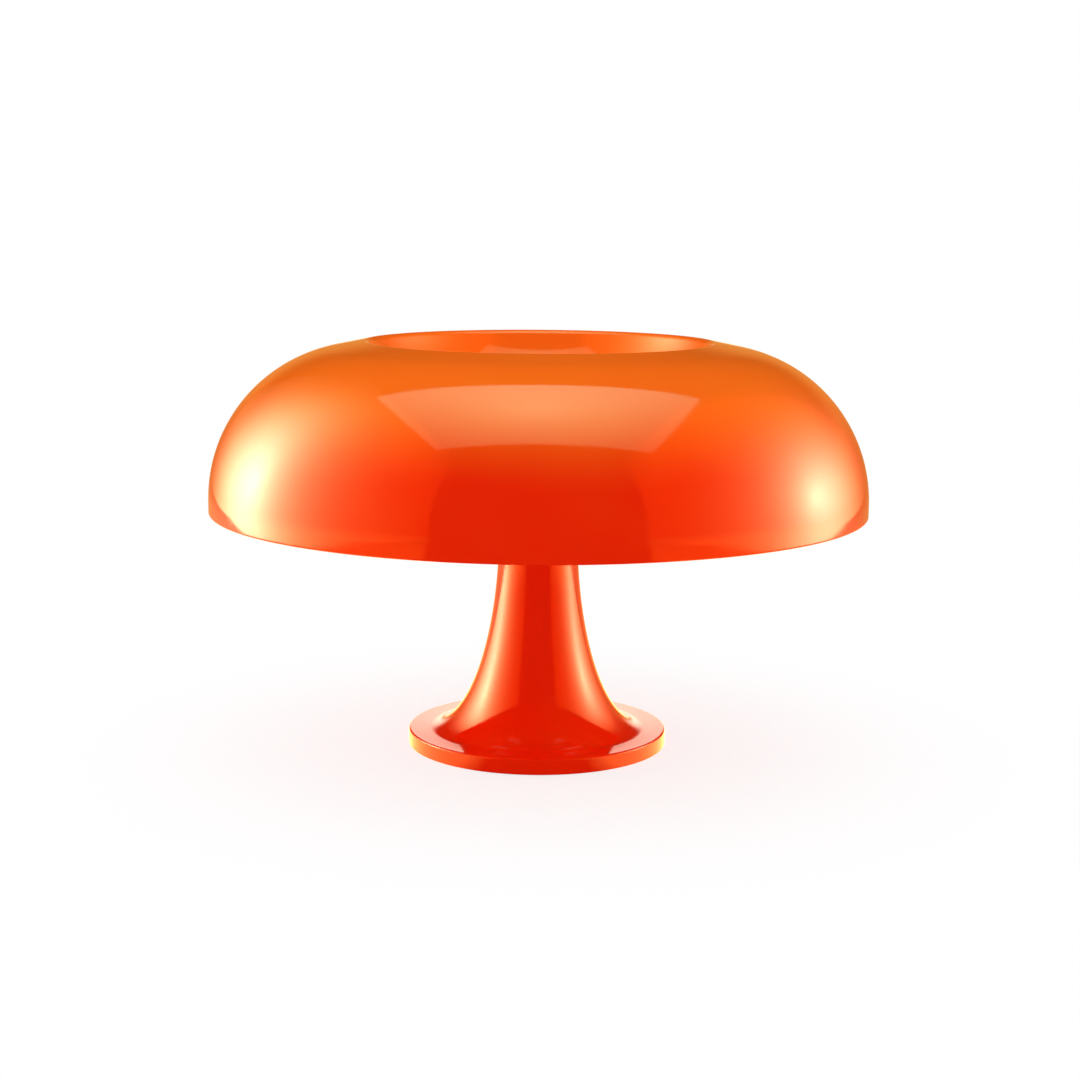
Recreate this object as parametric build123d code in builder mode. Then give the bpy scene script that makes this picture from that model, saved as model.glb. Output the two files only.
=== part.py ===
from build123d import *
from math import acos, asin, atan, cos, degrees, hypot, radians, sin, tan
import os

# Mushroom table lamp: a wide moulded shade with a bowl sunk in its top, on a trumpet-shaped
# column that flares into a round foot. Four small screw bulbs stand out sideways under the
# shade. Millimetres, +Z up, origin on the table at the centre of the foot, and the outlet
# for the flex at the back, on +Y.

# Shade
SHADE_R = 270.0  # outside radius, at the rim
SHADE_WALL = 3.0
RIM_Z = 199.0  # height of the rim above the table
RIM_WALL_H = 10.0  # upright band above the rim
RIM_ROUND = 1.2
DOME_ARC = 125.3  # radius of the shoulder in section
DOME_SLOPE = 11.2  # degrees, of the straight flank between the shoulder and the lip
LIP_INSET = 126.5  # from the outside of the rim in to the lip's highest ring
LIP_ROUND = 5.0
BOWL_DEPTH = 71.0  # from the lip's crest down to the flat floor
BOWL_FLOOR_R = 46.0
FLOOR_TURN = 19.0  # degrees at the foot of the bowl's arc that belong to the floor's zone
SPIGOT_H = 5.0  # ring under the bowl that locates the shade on its support
RIB_T = 2.2  # ribs between the spigot ring and the bowl's underside
RIB_REACH = 9.0
RIB_COUNT = 8

# Foot and column
FOOT_R = 107.6
FOOT_T = 13.5  # height of the foot's flat top above the table
FOOT_WALL = 3.2
FOOT_EDGE = 1.5  # round of the foot's top edge
SKIRT_LIFT = 0.8  # the skirt stays this far above the table
COLUMN_R = 32.6
COLUMN_TOP_Z = 206.0
FLARE_TOP_Z = 180.0
FLARE_RUN = 57.9  # how far the flare spreads beyond the column
BOSS_R = 4.5
BOSS_RING_R = 62.0
BOSS_COUNT = 3
BOSS_START = 30.0  # degrees, angle of the first boss
BOSS_BORE_DEPTH = 14.0
GUSSET_COUNT = 12
GUSSET_START = 15.0  # degrees
GUSSET_T = 2.4
GUSSET_REACH = 12.0
PEG_R = 2.0
PEG_RING_R = 16.5

# Under the foot
FELT_T = 2.0
FELT_HOLE_R = 16.0
PLATE_T = 5.0
PLATE_GAP = 0.8  # round the plate, inside the skirt
NUT_POCKET_R = 9.6
NUT_POCKET_DEPTH = 3.2
NOTCH_W = 16.0  # lets the flex pass the plate
NOTCH_END_R = 56.0
SCREW_R = 1.9
SCREW_L = 14.0
SCREW_HEAD_R = 3.7
SCREW_DRIVE_W = 1.0

# Flex outlet
OUTLET_BORE_R = 2.9
OUTLET_NECK_R = 3.6
OUTLET_FLANGE_R = 5.0
OUTLET_FLANGE_T = 1.6
OUTLET_BARB_R = 3.9
OUTLET_BARB_L = 1.6
FLEX_HOLE_R = 4.2
FLEX_HOLE_Y = -15.0

# Centre tube and its nuts, M10 x 1
TUBE_R = 4.95
TUBE_BORE_R = 3.3
TUBE_FOOT_Z = 1.0
TUBE_ABOVE_FLOOR = 10.0
TUBE_CHAMFER = 0.6
NUT_FLATS = 14.0
NUT_T = 3.0
WASHER_T = 0.8
WASHER_R = 9.0
COLLAR_R = 9.0
COLLAR_T = 3.7
SLOT_W = 2.5
SLOT_DEPTH = 1.5
SPACER_R = 7.5
DISC_T = 1.5
DISC_R = 34.0
DISC_HEM = 3.0
DISC_ROUND = 2.2
GASKET_T = 1.5
GASKET_IN_R = 20.0
GASKET_OUT_R = 32.0

# Lampholder bracket
BRACKET_T = 1.5
BRACKET_R = 23.0
BEND_R = 1.5  # inside radius of the bends
TAB_R = 24.0  # inner face of the upright tabs
TAB_W = 15.0
TAB_OVER_AXIS = 7.0
TAB_CORNER = 4.0
HOLDER_RISE = 18.5  # lamp axis above the bracket
HOLDER_ANGLES = (45, 135, 225, 315)

# Lampholders, small screw size, sizes along the lamp's axis
HOLDER_R = 13.0
HOLDER_L = 42.0
HOLDER_MOUTH_R = 12.2
HOLDER_ROUND = 1.2
HOLDER_WALL = 2.2
HOLDER_CAP_L = 13.0
HOLDER_STEP_L = 5.0  # overlap of the rear cap and the body
BACK_WALL = 2.5
SOCKET_FLOOR_T = 2.5
SOCKET_R = 8.1
SOCKET_DEPTH = 19.0
MOUTH_R = 9.6
NIPPLE_L = 6.5
NIPPLE_R = 4.9
NIPPLE_BORE_R = 3.2
LEAD_HOLE_RISE = 9.0
SHELL_T = 0.5
SHELL_IN_R = 7.3
SHELL_HOLE_R = 4.2
SHELL_L = 18.0
STRIP_T = 0.4
STRIP_W = 3.2
STRIP_RISE = 3.7
STRIP_REACH = 3.2
STRIP_BEND = 0.6

# Bulb, golf ball shape
TIP_GAP = 0.3
TIP_T = 1.2
TIP_R = 2.2
TIP_ROUND = 0.7
BULB_L = 78.0
GLOBE_R = 22.5
GLASS_T = 0.9
NECK_R = 7.95
NECK_SHOW = 2.0  # straight neck beyond the cap
NECK_IN_CAP = 2.5
NECK_BLEND = 9.0
INSULATOR_CONE = 2.5
INSULATOR_R = 5.0
INSULATOR_L = 2.0  # stretch inside the cap
CAP_T = 0.4
CAP_R = 6.9
CAP_THREAD_L = 16.1
CAP_FLARE_L = 1.7
CAP_SLEEVE_L = 3.0
CAP_SLEEVE_R = 8.5

# Terminal block and the sleeved leads to the lampholders
BLOCK_W, BLOCK_D, BLOCK_H = 17.0, 9.0, 10.0
BLOCK_Y = 15.5
BLOCK_ROUND = 1.0
BLOCK_PEG_R = 2.2
TERMINAL_R = 1.7
TERMINAL_T = 1.6
TERMINAL_RISE = 3.4
TERMINAL_PITCH = 4.2
TERMINAL_SLOT = 0.7
LEAD_R = 1.3
LEAD_IN_BLOCK = 4.0
LEAD_IN_HOLDER = 1.5
NEAR_TURN_DROP = 5.5  # below the lead holes, where the back leads turn outwards
NEAR_TURN_BACK = 5.2  # behind the lampholder's back, where they turn into it
FAR_TURN_DROP = 13.0  # below the lead holes, where the front leads leave the block
FAR_SIDE_Y = 6.5  # the front leads pass beside the spacer here
FAR_SIDE_DROP = 4.0
FAR_PASS_Y = -4.0  # and are up at the lead holes' height here
FAR_PASS_GAP = 3.5
FAR_TURN_BACK = 7.5

# Knob that holds the shade down
KNOB_R = 30.0
KNOB_WALL = 2.5
KNOB_EDGE_H = 9.0
KNOB_CROWN = 7.0
KNOB_ROUND = 1.5
KNOB_RIB_T = 2.0
KNOB_RIB_COUNT = 6
FLUTE_R = 3.0
FLUTE_DEPTH = 0.9
FLUTE_COUNT = 24
INSERT_R = 8.0
INSERT_L = 8.5
INSERT_LIFT = 0.5  # above the bowl's floor
TUBE_ROOM = 1.5  # free space in the knob over the tube's end

RUNNING_GAP = 0.05
FIT_GAP = 0.15
LOOSE_GAP = 0.3

# Heights that follow from the sizes above
shoulder_z = RIM_Z + RIM_WALL_H
crest_r = SHADE_R - LIP_INSET
dome_end_r = SHADE_R - DOME_ARC + DOME_ARC * sin(radians(DOME_SLOPE))
dome_end_z = shoulder_z + DOME_ARC * cos(radians(DOME_SLOPE))
flank_end_r = crest_r + LIP_ROUND * sin(radians(DOME_SLOPE))
flank_end_z = dome_end_z + (dome_end_r - flank_end_r) * tan(radians(DOME_SLOPE))
lip_centre_z = flank_end_z - LIP_ROUND * cos(radians(DOME_SLOPE))
crest_z = lip_centre_z + LIP_ROUND
floor_z = crest_z - BOWL_DEPTH
bowl_run = crest_r - BOWL_FLOOR_R
bowl_turn = 2 * degrees(atan(BOWL_DEPTH / bowl_run))
bowl_arc = bowl_run / sin(radians(bowl_turn)) - LIP_ROUND
gasket_z = floor_z - SHADE_WALL - GASKET_T
disc_z = gasket_z - DISC_T
plate_top_z = FELT_T + PLATE_T
pocket_z = FELT_T + NUT_POCKET_DEPTH
roof_z = FOOT_T - FOOT_WALL
screw_sink = SCREW_HEAD_R - SCREW_R  # depth of a 90 degree countersink
outlet_z = (FELT_T + roof_z) / 2
bracket_top_z = COLUMN_TOP_Z + BRACKET_T
holder_z = bracket_top_z + HOLDER_RISE
block_top_z = bracket_top_z + BLOCK_H
lead_z = holder_z + LEAD_HOLE_RISE
tube_top_z = floor_z + TUBE_ABOVE_FLOOR
insert_z = floor_z + INSERT_LIFT
knob_top_z = floor_z + KNOB_EDGE_H + KNOB_CROWN

# Radii that follow
skirt_in_r = FOOT_R - FOOT_WALL
plate_r = skirt_in_r - PLATE_GAP
flare_r = COLUMN_R + FLARE_RUN
tube_hole_r = TUBE_R + FIT_GAP
spigot_in_r = DISC_R + LOOSE_GAP
lead_hole_r = LEAD_R + LOOSE_GAP
crown_r = (KNOB_R**2 + KNOB_CROWN**2) / (2 * KNOB_CROWN)
knob_in_r = KNOB_R - KNOB_WALL
knob_boss_r = INSERT_R + KNOB_WALL
holder_in_r = HOLDER_R - HOLDER_WALL
holder_step_r = holder_in_r - FIT_GAP

# Stations along a lamp's axis, measured from the lamp's upright centre line
holder_back = TAB_R + BRACKET_T
holder_mouth = holder_back + HOLDER_L
cap_joint = holder_back + HOLDER_CAP_L
socket_floor = cap_joint + SOCKET_FLOOR_T
socket_end = socket_floor + SOCKET_DEPTH
bulb_tip = socket_floor + STRIP_RISE + STRIP_T + TIP_GAP
cap_start = bulb_tip + TIP_T + INSULATOR_CONE
flare_start = cap_start + CAP_THREAD_L
sleeve_start = flare_start + CAP_FLARE_L
cap_end = sleeve_start + CAP_SLEEVE_L
globe_centre = bulb_tip + BULB_L - GLOBE_R
neck_end = cap_end + NECK_SHOW

os.makedirs("parts", exist_ok=True)


def polar(radius, angle, z):
    """A point at a radius and an angle in degrees round the lamp's centre line."""
    return (radius * cos(radians(angle)), radius * sin(radians(angle)), z)


def lamp_plane(angle):
    """Upright plane through a lamp's axis: x outwards along the axis, y upwards."""
    outwards = polar(1, angle, 0)
    sideways = (outwards[1], -outwards[0], 0)
    return Plane(origin=(0, 0, holder_z), x_dir=outwards, z_dir=sideways)


def cross_plane(angle, station):
    """Plane square to a lamp's axis at a station, facing outwards, with y upwards."""
    outwards = polar(1, angle, 0)
    sideways = (-outwards[1], outwards[0], 0)
    return Plane(origin=polar(station, angle, holder_z), x_dir=sideways, z_dir=outwards)


def lamp_axis(angle):
    """Line along a lamp's axis."""
    return Axis((0, 0, holder_z), polar(1, angle, 0))


# Shade, one moulding in three zones that meet without a seam. The outer zone runs from the
# rim over the shoulder up to the lip's highest ring
with BuildPart() as shade_dome:
    with BuildSketch(Plane.XZ):
        with BuildLine():
            band = Line((SHADE_R, RIM_Z), (SHADE_R, shoulder_z))
            dome = CenterArc((SHADE_R - DOME_ARC, shoulder_z), DOME_ARC, 0, 90 - DOME_SLOPE)
            flank = Line(dome @ 1, (flank_end_r, flank_end_z))
            outer_lip = CenterArc((crest_r, lip_centre_z), LIP_ROUND, 90 - DOME_SLOPE, DOME_SLOPE)
            offset(amount=SHADE_WALL, side=Side.LEFT)
        make_face()
    revolve(axis=Axis.Z)
    fillet(shade_dome.edges().group_by(Axis.Z)[0], RIM_ROUND)
shade_dome.part.label = "shade_dome"
export_step(shade_dome.part, "parts/shade_dome.step")

# The wall of the bowl, from that ring down to where the floor's zone begins
bowl_centre = (BOWL_FLOOR_R, floor_z + bowl_arc)
with BuildPart() as shade_bowl:
    with BuildSketch(Plane.XZ):
        with BuildLine():
            inner_lip = CenterArc((crest_r, lip_centre_z), LIP_ROUND, 90, bowl_turn)
            bowl = CenterArc(bowl_centre, bowl_arc, bowl_turn - 90, FLOOR_TURN - bowl_turn)
            offset(amount=SHADE_WALL, side=Side.LEFT)
        make_face()
    revolve(axis=Axis.Z)
shade_bowl.part.label = "shade_bowl"
export_step(shade_bowl.part, "parts/shade_bowl.step")

# The floor of the bowl, with its centre hole
with BuildPart() as shade_floor:
    with BuildSketch(Plane.XZ):
        with BuildLine():
            foot_of_bowl = CenterArc(bowl_centre, bowl_arc, FLOOR_TURN - 90, -FLOOR_TURN)
            floor = Line(foot_of_bowl @ 1, (COLLAR_R + LOOSE_GAP, floor_z))
            offset(amount=SHADE_WALL, side=Side.LEFT)
        make_face()
    revolve(axis=Axis.Z)
    # Ring that drops over the support disc, and ribs that stiffen it
    with BuildSketch(Plane.XY.offset(floor_z - SHADE_WALL)):
        Circle(spigot_in_r + SHADE_WALL)
        Circle(spigot_in_r, mode=Mode.SUBTRACT)
    extrude(amount=-SPIGOT_H)
    for rib in range(RIB_COUNT):
        with BuildSketch(lamp_plane(rib * 360 / RIB_COUNT)):
            with BuildLine():
                Polyline(
                    (spigot_in_r + SHADE_WALL / 2, floor_z - SHADE_WALL - SPIGOT_H - holder_z),
                    (spigot_in_r + SHADE_WALL / 2 + RIB_REACH, floor_z - SHADE_WALL / 2 - holder_z),
                    (spigot_in_r + SHADE_WALL / 2, floor_z - SHADE_WALL / 2 - holder_z),
                    close=True,
                )
            make_face()
        extrude(amount=RIB_T / 2, both=True)
shade_floor.part.label = "shade_floor"
export_step(shade_floor.part, "parts/shade_floor.step")

# Foot and column: one hollow moulding
with BuildPart() as foot_column:
    with BuildSketch(Plane.XZ):
        with BuildLine():
            flare = EllipticalCenterArc(
                (flare_r, FLARE_TOP_Z), FLARE_RUN, FLARE_TOP_Z - FOOT_T, 180, arc_size=90
            )
            Polyline(
                flare @ 1,
                (FOOT_R, FOOT_T),
                (FOOT_R, SKIRT_LIFT),
                (0, SKIRT_LIFT),
                (0, COLUMN_TOP_Z),
                (COLUMN_R, COLUMN_TOP_Z),
                flare @ 0,
            )
        make_face()
    revolve(axis=Axis.Z)
    rim = foot_column.edges().filter_by(GeomType.CIRCLE).group_by(SortBy.RADIUS)[-1]
    fillet(rim.sort_by(Axis.Z)[-1], FOOT_EDGE)
    with BuildSketch(Plane.XZ):
        with BuildLine():
            hollow = EllipticalCenterArc(
                (flare_r, FLARE_TOP_Z), FLARE_RUN + FOOT_WALL, FLARE_TOP_Z - roof_z, 180, arc_size=90
            )
            Polyline(
                hollow @ 1,
                (skirt_in_r, roof_z),
                (skirt_in_r, SKIRT_LIFT),
                (0, SKIRT_LIFT),
                (0, COLUMN_TOP_Z - FOOT_WALL),
                (COLUMN_R - FOOT_WALL, COLUMN_TOP_Z - FOOT_WALL),
                hollow @ 0,
            )
        make_face()
    revolve(axis=Axis.Z, mode=Mode.SUBTRACT)
    # Screw bosses, from the ballast plate up into the flare
    with BuildSketch(Plane.XY.offset(plate_top_z)):
        with PolarLocations(BOSS_RING_R, BOSS_COUNT, start_angle=BOSS_START):
            Circle(BOSS_R)
    extrude(until=Until.NEXT)
    with BuildSketch(Plane.XY.offset(plate_top_z)):
        with PolarLocations(BOSS_RING_R, BOSS_COUNT, start_angle=BOSS_START):
            Circle(SCREW_R + RUNNING_GAP)
    extrude(amount=BOSS_BORE_DEPTH, mode=Mode.SUBTRACT)
    # Short gussets under the foot's roof, which bear on the plate
    with BuildSketch(Plane.XY.offset(plate_top_z)):
        with PolarLocations(skirt_in_r - GUSSET_REACH / 2, GUSSET_COUNT, start_angle=GUSSET_START):
            Rectangle(GUSSET_REACH + FOOT_WALL, GUSSET_T)
    extrude(amount=roof_z - plate_top_z)
    # Pegs on the column's top that keep the bracket from turning
    with BuildSketch(Plane.XY.offset(COLUMN_TOP_Z)):
        with PolarLocations(PEG_RING_R, 2):
            Circle(PEG_R)
    extrude(amount=BRACKET_T)
    # Holes in the column's top for the centre tube and the flex
    with BuildSketch(Plane.XY.offset(COLUMN_TOP_Z)):
        Circle(tube_hole_r)
        with Locations((0, FLEX_HOLE_Y)):
            Circle(FLEX_HOLE_R)
    extrude(amount=-FOOT_WALL, mode=Mode.SUBTRACT)
    # Outlet hole through the skirt at the back
    with BuildSketch(Plane.XZ.offset(-FOOT_R - FOOT_WALL)):
        with Locations((0, outlet_z)):
            Circle(OUTLET_NECK_R + RUNNING_GAP)
    extrude(amount=3 * FOOT_WALL, mode=Mode.SUBTRACT)
foot_column.part.label = "foot_column"
export_step(foot_column.part, "parts/foot_column.step")

# Ballast plate: a steel disc with a pocket for the centre nut and a notch for the flex
with BuildPart() as ballast_plate:
    with BuildSketch(Plane.XY.offset(FELT_T)):
        Circle(plate_r)
        Circle(tube_hole_r, mode=Mode.SUBTRACT)
        with Locations((0, (NOTCH_END_R + FOOT_R) / 2)):
            SlotCenterToCenter(FOOT_R - NOTCH_END_R, NOTCH_W, rotation=90, mode=Mode.SUBTRACT)
    extrude(amount=PLATE_T)
    with BuildSketch(Plane.XY.offset(FELT_T)):
        Circle(NUT_POCKET_R)
    extrude(amount=NUT_POCKET_DEPTH, mode=Mode.SUBTRACT)
    with Locations(Plane.XY.offset(FELT_T).rotated((180, 0, 0))):
        with PolarLocations(BOSS_RING_R, BOSS_COUNT, start_angle=-BOSS_START):
            CounterSinkHole(
                SCREW_R + FIT_GAP,
                SCREW_HEAD_R + FIT_GAP,
                counter_sink_angle=90,
            )
ballast_plate.part.label = "ballast_plate"
export_step(ballast_plate.part, "parts/ballast_plate.step")

# Felt under the plate, the face the lamp stands on
with BuildPart() as felt_pad:
    with BuildSketch():
        Circle(plate_r)
        Circle(FELT_HOLE_R, mode=Mode.SUBTRACT)
    extrude(amount=FELT_T)
felt_pad.part.label = "felt_pad"
export_step(felt_pad.part, "parts/felt_pad.step")

# Countersunk screws that hold the plate to the foot
with BuildPart() as plate_screws:
    with PolarLocations(BOSS_RING_R, BOSS_COUNT, start_angle=BOSS_START):
        with Locations((0, 0, FELT_T)):
            Cone(
                SCREW_HEAD_R,
                SCREW_R,
                screw_sink,
                align=(Align.CENTER, Align.CENTER, Align.MIN),
            )
        with Locations((0, 0, FELT_T + screw_sink)):
            Cylinder(
                SCREW_R,
                SCREW_L - screw_sink,
                align=(Align.CENTER, Align.CENTER, Align.MIN),
            )
        with Locations((0, 0, FELT_T)):
            Box(
                2 * SCREW_R,
                SCREW_DRIVE_W,
                screw_sink / 2,
                align=(Align.CENTER, Align.CENTER, Align.MIN),
                mode=Mode.SUBTRACT,
            )
plate_screws.part.label = "plate_screws"
export_step(plate_screws.part, "parts/plate_screws.step")

# Outlet bush: a snap-in sleeve that the flex leaves through
with BuildPart() as outlet_bush:
    with BuildSketch(Plane.YZ):
        with BuildLine():
            Polyline(
                (skirt_in_r - LOOSE_GAP - OUTLET_BARB_L, outlet_z + OUTLET_BORE_R),
                (FOOT_R + OUTLET_FLANGE_T, outlet_z + OUTLET_BORE_R),
                (FOOT_R + OUTLET_FLANGE_T, outlet_z + OUTLET_FLANGE_R),
                (FOOT_R, outlet_z + OUTLET_FLANGE_R),
                (FOOT_R, outlet_z + OUTLET_NECK_R),
                (skirt_in_r - LOOSE_GAP, outlet_z + OUTLET_NECK_R),
                (skirt_in_r - LOOSE_GAP, outlet_z + OUTLET_BARB_R),
                (skirt_in_r - LOOSE_GAP - OUTLET_BARB_L, outlet_z + OUTLET_NECK_R),
                close=True,
            )
        make_face()
    revolve(axis=Axis((0, 0, outlet_z), (0, 1, 0)))
    lips = outlet_bush.edges().group_by(Axis.Y)[-1]
    fillet(lips, (OUTLET_FLANGE_R - OUTLET_BORE_R) / 4)
outlet_bush.part.label = "outlet_bush"
export_step(outlet_bush.part, "parts/outlet_bush.step")

# Centre tube, from the pocket under the plate up into the knob
with BuildPart() as centre_tube:
    with BuildSketch(Plane.XY.offset(TUBE_FOOT_Z)):
        Circle(TUBE_R)
        Circle(TUBE_BORE_R, mode=Mode.SUBTRACT)
    extrude(amount=tube_top_z - TUBE_FOOT_Z)
    ends = centre_tube.edges().filter_by(GeomType.CIRCLE).group_by(SortBy.RADIUS)[-1]
    chamfer(ends, TUBE_CHAMFER)
centre_tube.part.label = "centre_tube"
export_step(centre_tube.part, "parts/centre_tube.step")

# Washer and nut that pull the tube down against the plate
with BuildPart() as foot_washer:
    with BuildSketch(Plane.XY.offset(pocket_z - WASHER_T)):
        Circle(WASHER_R)
        Circle(tube_hole_r, mode=Mode.SUBTRACT)
    extrude(amount=WASHER_T)
foot_washer.part.label = "foot_washer"
export_step(foot_washer.part, "parts/foot_washer.step")

with BuildPart() as foot_nut:
    with BuildSketch(Plane.XY.offset(pocket_z - WASHER_T - NUT_T)):
        RegularPolygon(NUT_FLATS / 2, 6, major_radius=False)
        Circle(TUBE_R + RUNNING_GAP, mode=Mode.SUBTRACT)
    extrude(amount=NUT_T)
foot_nut.part.label = "foot_nut"
export_step(foot_nut.part, "parts/foot_nut.step")

# Lampholder bracket: a round sheet with four tabs bent up, one behind each lampholder
with BuildPart() as lamp_bracket:
    with BuildSketch(Plane.XY.offset(COLUMN_TOP_Z)):
        Circle(BRACKET_R)
    extrude(amount=BRACKET_T)
    for angle in HOLDER_ANGLES:
        with BuildSketch(lamp_plane(angle)):
            with BuildLine():
                FilletPolyline(
                    (BRACKET_R / 2, -HOLDER_RISE),
                    (TAB_R, -HOLDER_RISE),
                    (TAB_R, TAB_OVER_AXIS),
                    radius=BEND_R,
                )
                offset(amount=BRACKET_T, side=Side.RIGHT)
            make_face()
        extrude(amount=TAB_W / 2, both=True)
    tab_corners = lamp_bracket.edges().filter_by(GeomType.LINE)
    tab_corners = tab_corners.filter_by(lambda e: abs(e.length - BRACKET_T) < 0.01)
    tab_corners = tab_corners.filter_by(lambda e: e.center().Z > holder_z)
    fillet(tab_corners, TAB_CORNER)
    for angle in HOLDER_ANGLES:
        with BuildSketch(cross_plane(angle, TAB_R - BRACKET_T)):
            Circle(NIPPLE_R + FIT_GAP)
        extrude(amount=3 * BRACKET_T, mode=Mode.SUBTRACT)
    with BuildSketch(Plane.XY.offset(COLUMN_TOP_Z)):
        Circle(tube_hole_r)
        with Locations((0, FLEX_HOLE_Y)):
            Circle(FLEX_HOLE_R)
        with Locations((0, BLOCK_Y)):
            Circle(BLOCK_PEG_R + FIT_GAP)
        with PolarLocations(PEG_RING_R, 2):
            Circle(PEG_R + FIT_GAP)
    extrude(amount=BRACKET_T, mode=Mode.SUBTRACT)
lamp_bracket.part.label = "lamp_bracket"
export_step(lamp_bracket.part, "parts/lamp_bracket.step")

with BuildPart() as bracket_nut:
    with BuildSketch(Plane.XY.offset(bracket_top_z)):
        RegularPolygon(NUT_FLATS / 2, 6, major_radius=False)
        Circle(TUBE_R + RUNNING_GAP, mode=Mode.SUBTRACT)
    extrude(amount=NUT_T)
bracket_nut.part.label = "bracket_nut"
export_step(bracket_nut.part, "parts/bracket_nut.step")

# Spacer over the tube, between the bracket's nut and the support disc
with BuildPart() as spacer_tube:
    with BuildSketch(Plane.XY.offset(bracket_top_z + NUT_T)):
        Circle(SPACER_R)
        Circle(tube_hole_r, mode=Mode.SUBTRACT)
    extrude(amount=disc_z - bracket_top_z - NUT_T)
spacer_tube.part.label = "spacer_tube"
export_step(spacer_tube.part, "parts/spacer_tube.step")

# Pressed disc with a turned-down hem, which carries the shade
with BuildPart() as support_disc:
    with BuildSketch(Plane.XZ):
        with BuildLine():
            FilletPolyline(
                (tube_hole_r, disc_z + DISC_T),
                (DISC_R, disc_z + DISC_T),
                (DISC_R, disc_z - DISC_HEM),
                radius=DISC_ROUND,
            )
            offset(amount=DISC_T, side=Side.RIGHT)
        make_face()
    revolve(axis=Axis.Z)
support_disc.part.label = "support_disc"
export_step(support_disc.part, "parts/support_disc.step")

# Slotted collar that clamps the disc and centres the shade
with BuildPart() as collar_nut:
    with BuildSketch(Plane.XY.offset(disc_z + DISC_T)):
        Circle(COLLAR_R)
        Circle(TUBE_R + RUNNING_GAP, mode=Mode.SUBTRACT)
    extrude(amount=COLLAR_T)
    with BuildSketch(Plane.XY.offset(disc_z + DISC_T + COLLAR_T)):
        Rectangle(2 * COLLAR_R, SLOT_W)
    extrude(amount=-SLOT_DEPTH, mode=Mode.SUBTRACT)
collar_nut.part.label = "collar_nut"
export_step(collar_nut.part, "parts/collar_nut.step")

with BuildPart() as gasket:
    with BuildSketch(Plane.XY.offset(gasket_z)):
        Circle(GASKET_OUT_R)
        Circle(GASKET_IN_R, mode=Mode.SUBTRACT)
    extrude(amount=GASKET_T)
gasket.part.label = "gasket"
export_step(gasket.part, "parts/gasket.step")

# Knob: a fluted cap with a boss round its threaded insert
with BuildPart() as knob:
    with BuildSketch(Plane.XZ):
        with BuildLine():
            half_angle = degrees(asin(KNOB_R / crown_r))
            crown = CenterArc((0, knob_top_z - crown_r), crown_r, 90 - half_angle, half_angle)
            Polyline(crown @ 1, (0, floor_z), (KNOB_R, floor_z), crown @ 0)
        make_face()
    revolve(axis=Axis.Z)
    fillet(knob.edges().filter_by(Plane.XY).sort_by(Axis.Z)[-1], KNOB_ROUND)
    with BuildSketch(Plane.XZ):
        with BuildLine():
            inner_r = crown_r - KNOB_WALL
            low = degrees(asin(knob_in_r / inner_r))
            high = degrees(asin(knob_boss_r / inner_r))
            vault = CenterArc((0, knob_top_z - crown_r), inner_r, 90 - low, low - high)
            Polyline(vault @ 1, (knob_boss_r, floor_z), (knob_in_r, floor_z), vault @ 0)
        make_face()
    revolve(axis=Axis.Z, mode=Mode.SUBTRACT)
    with BuildSketch(Plane.XY.offset(floor_z)):
        with PolarLocations(KNOB_R + FLUTE_R - FLUTE_DEPTH, FLUTE_COUNT):
            Circle(FLUTE_R)
    extrude(amount=KNOB_EDGE_H + KNOB_CROWN, mode=Mode.SUBTRACT)
    with BuildSketch(Plane.XY.offset(floor_z + KNOB_EDGE_H / 2)):
        with PolarLocations((knob_boss_r + knob_in_r) / 2, KNOB_RIB_COUNT):
            Rectangle(knob_in_r - knob_boss_r + KNOB_WALL, KNOB_RIB_T)
    extrude(until=Until.NEXT)
    # The boss stops short of the bowl's floor, so that the knob bears on its edge
    with BuildSketch(Plane.XY.offset(floor_z)):
        Circle(knob_in_r)
    extrude(amount=INSERT_LIFT, mode=Mode.SUBTRACT)
    with BuildSketch(Plane.XY.offset(insert_z)):
        Circle(INSERT_R + RUNNING_GAP)
    extrude(amount=INSERT_L, mode=Mode.SUBTRACT)
    with BuildSketch(Plane.XY.offset(insert_z)):
        Circle(TUBE_R + LOOSE_GAP)
    extrude(amount=tube_top_z + TUBE_ROOM - insert_z, mode=Mode.SUBTRACT)
knob.part.label = "knob"
export_step(knob.part, "parts/knob.step")

# Threaded insert in the knob
with BuildPart() as knob_insert:
    with BuildSketch(Plane.XY.offset(insert_z)):
        Circle(INSERT_R)
        Circle(TUBE_R + RUNNING_GAP, mode=Mode.SUBTRACT)
    extrude(amount=INSERT_L)
    chamfer(knob_insert.edges().group_by(Axis.Z)[0], INSERT_LIFT)
knob_insert.part.label = "knob_insert"
export_step(knob_insert.part, "parts/knob_insert.step")

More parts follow.
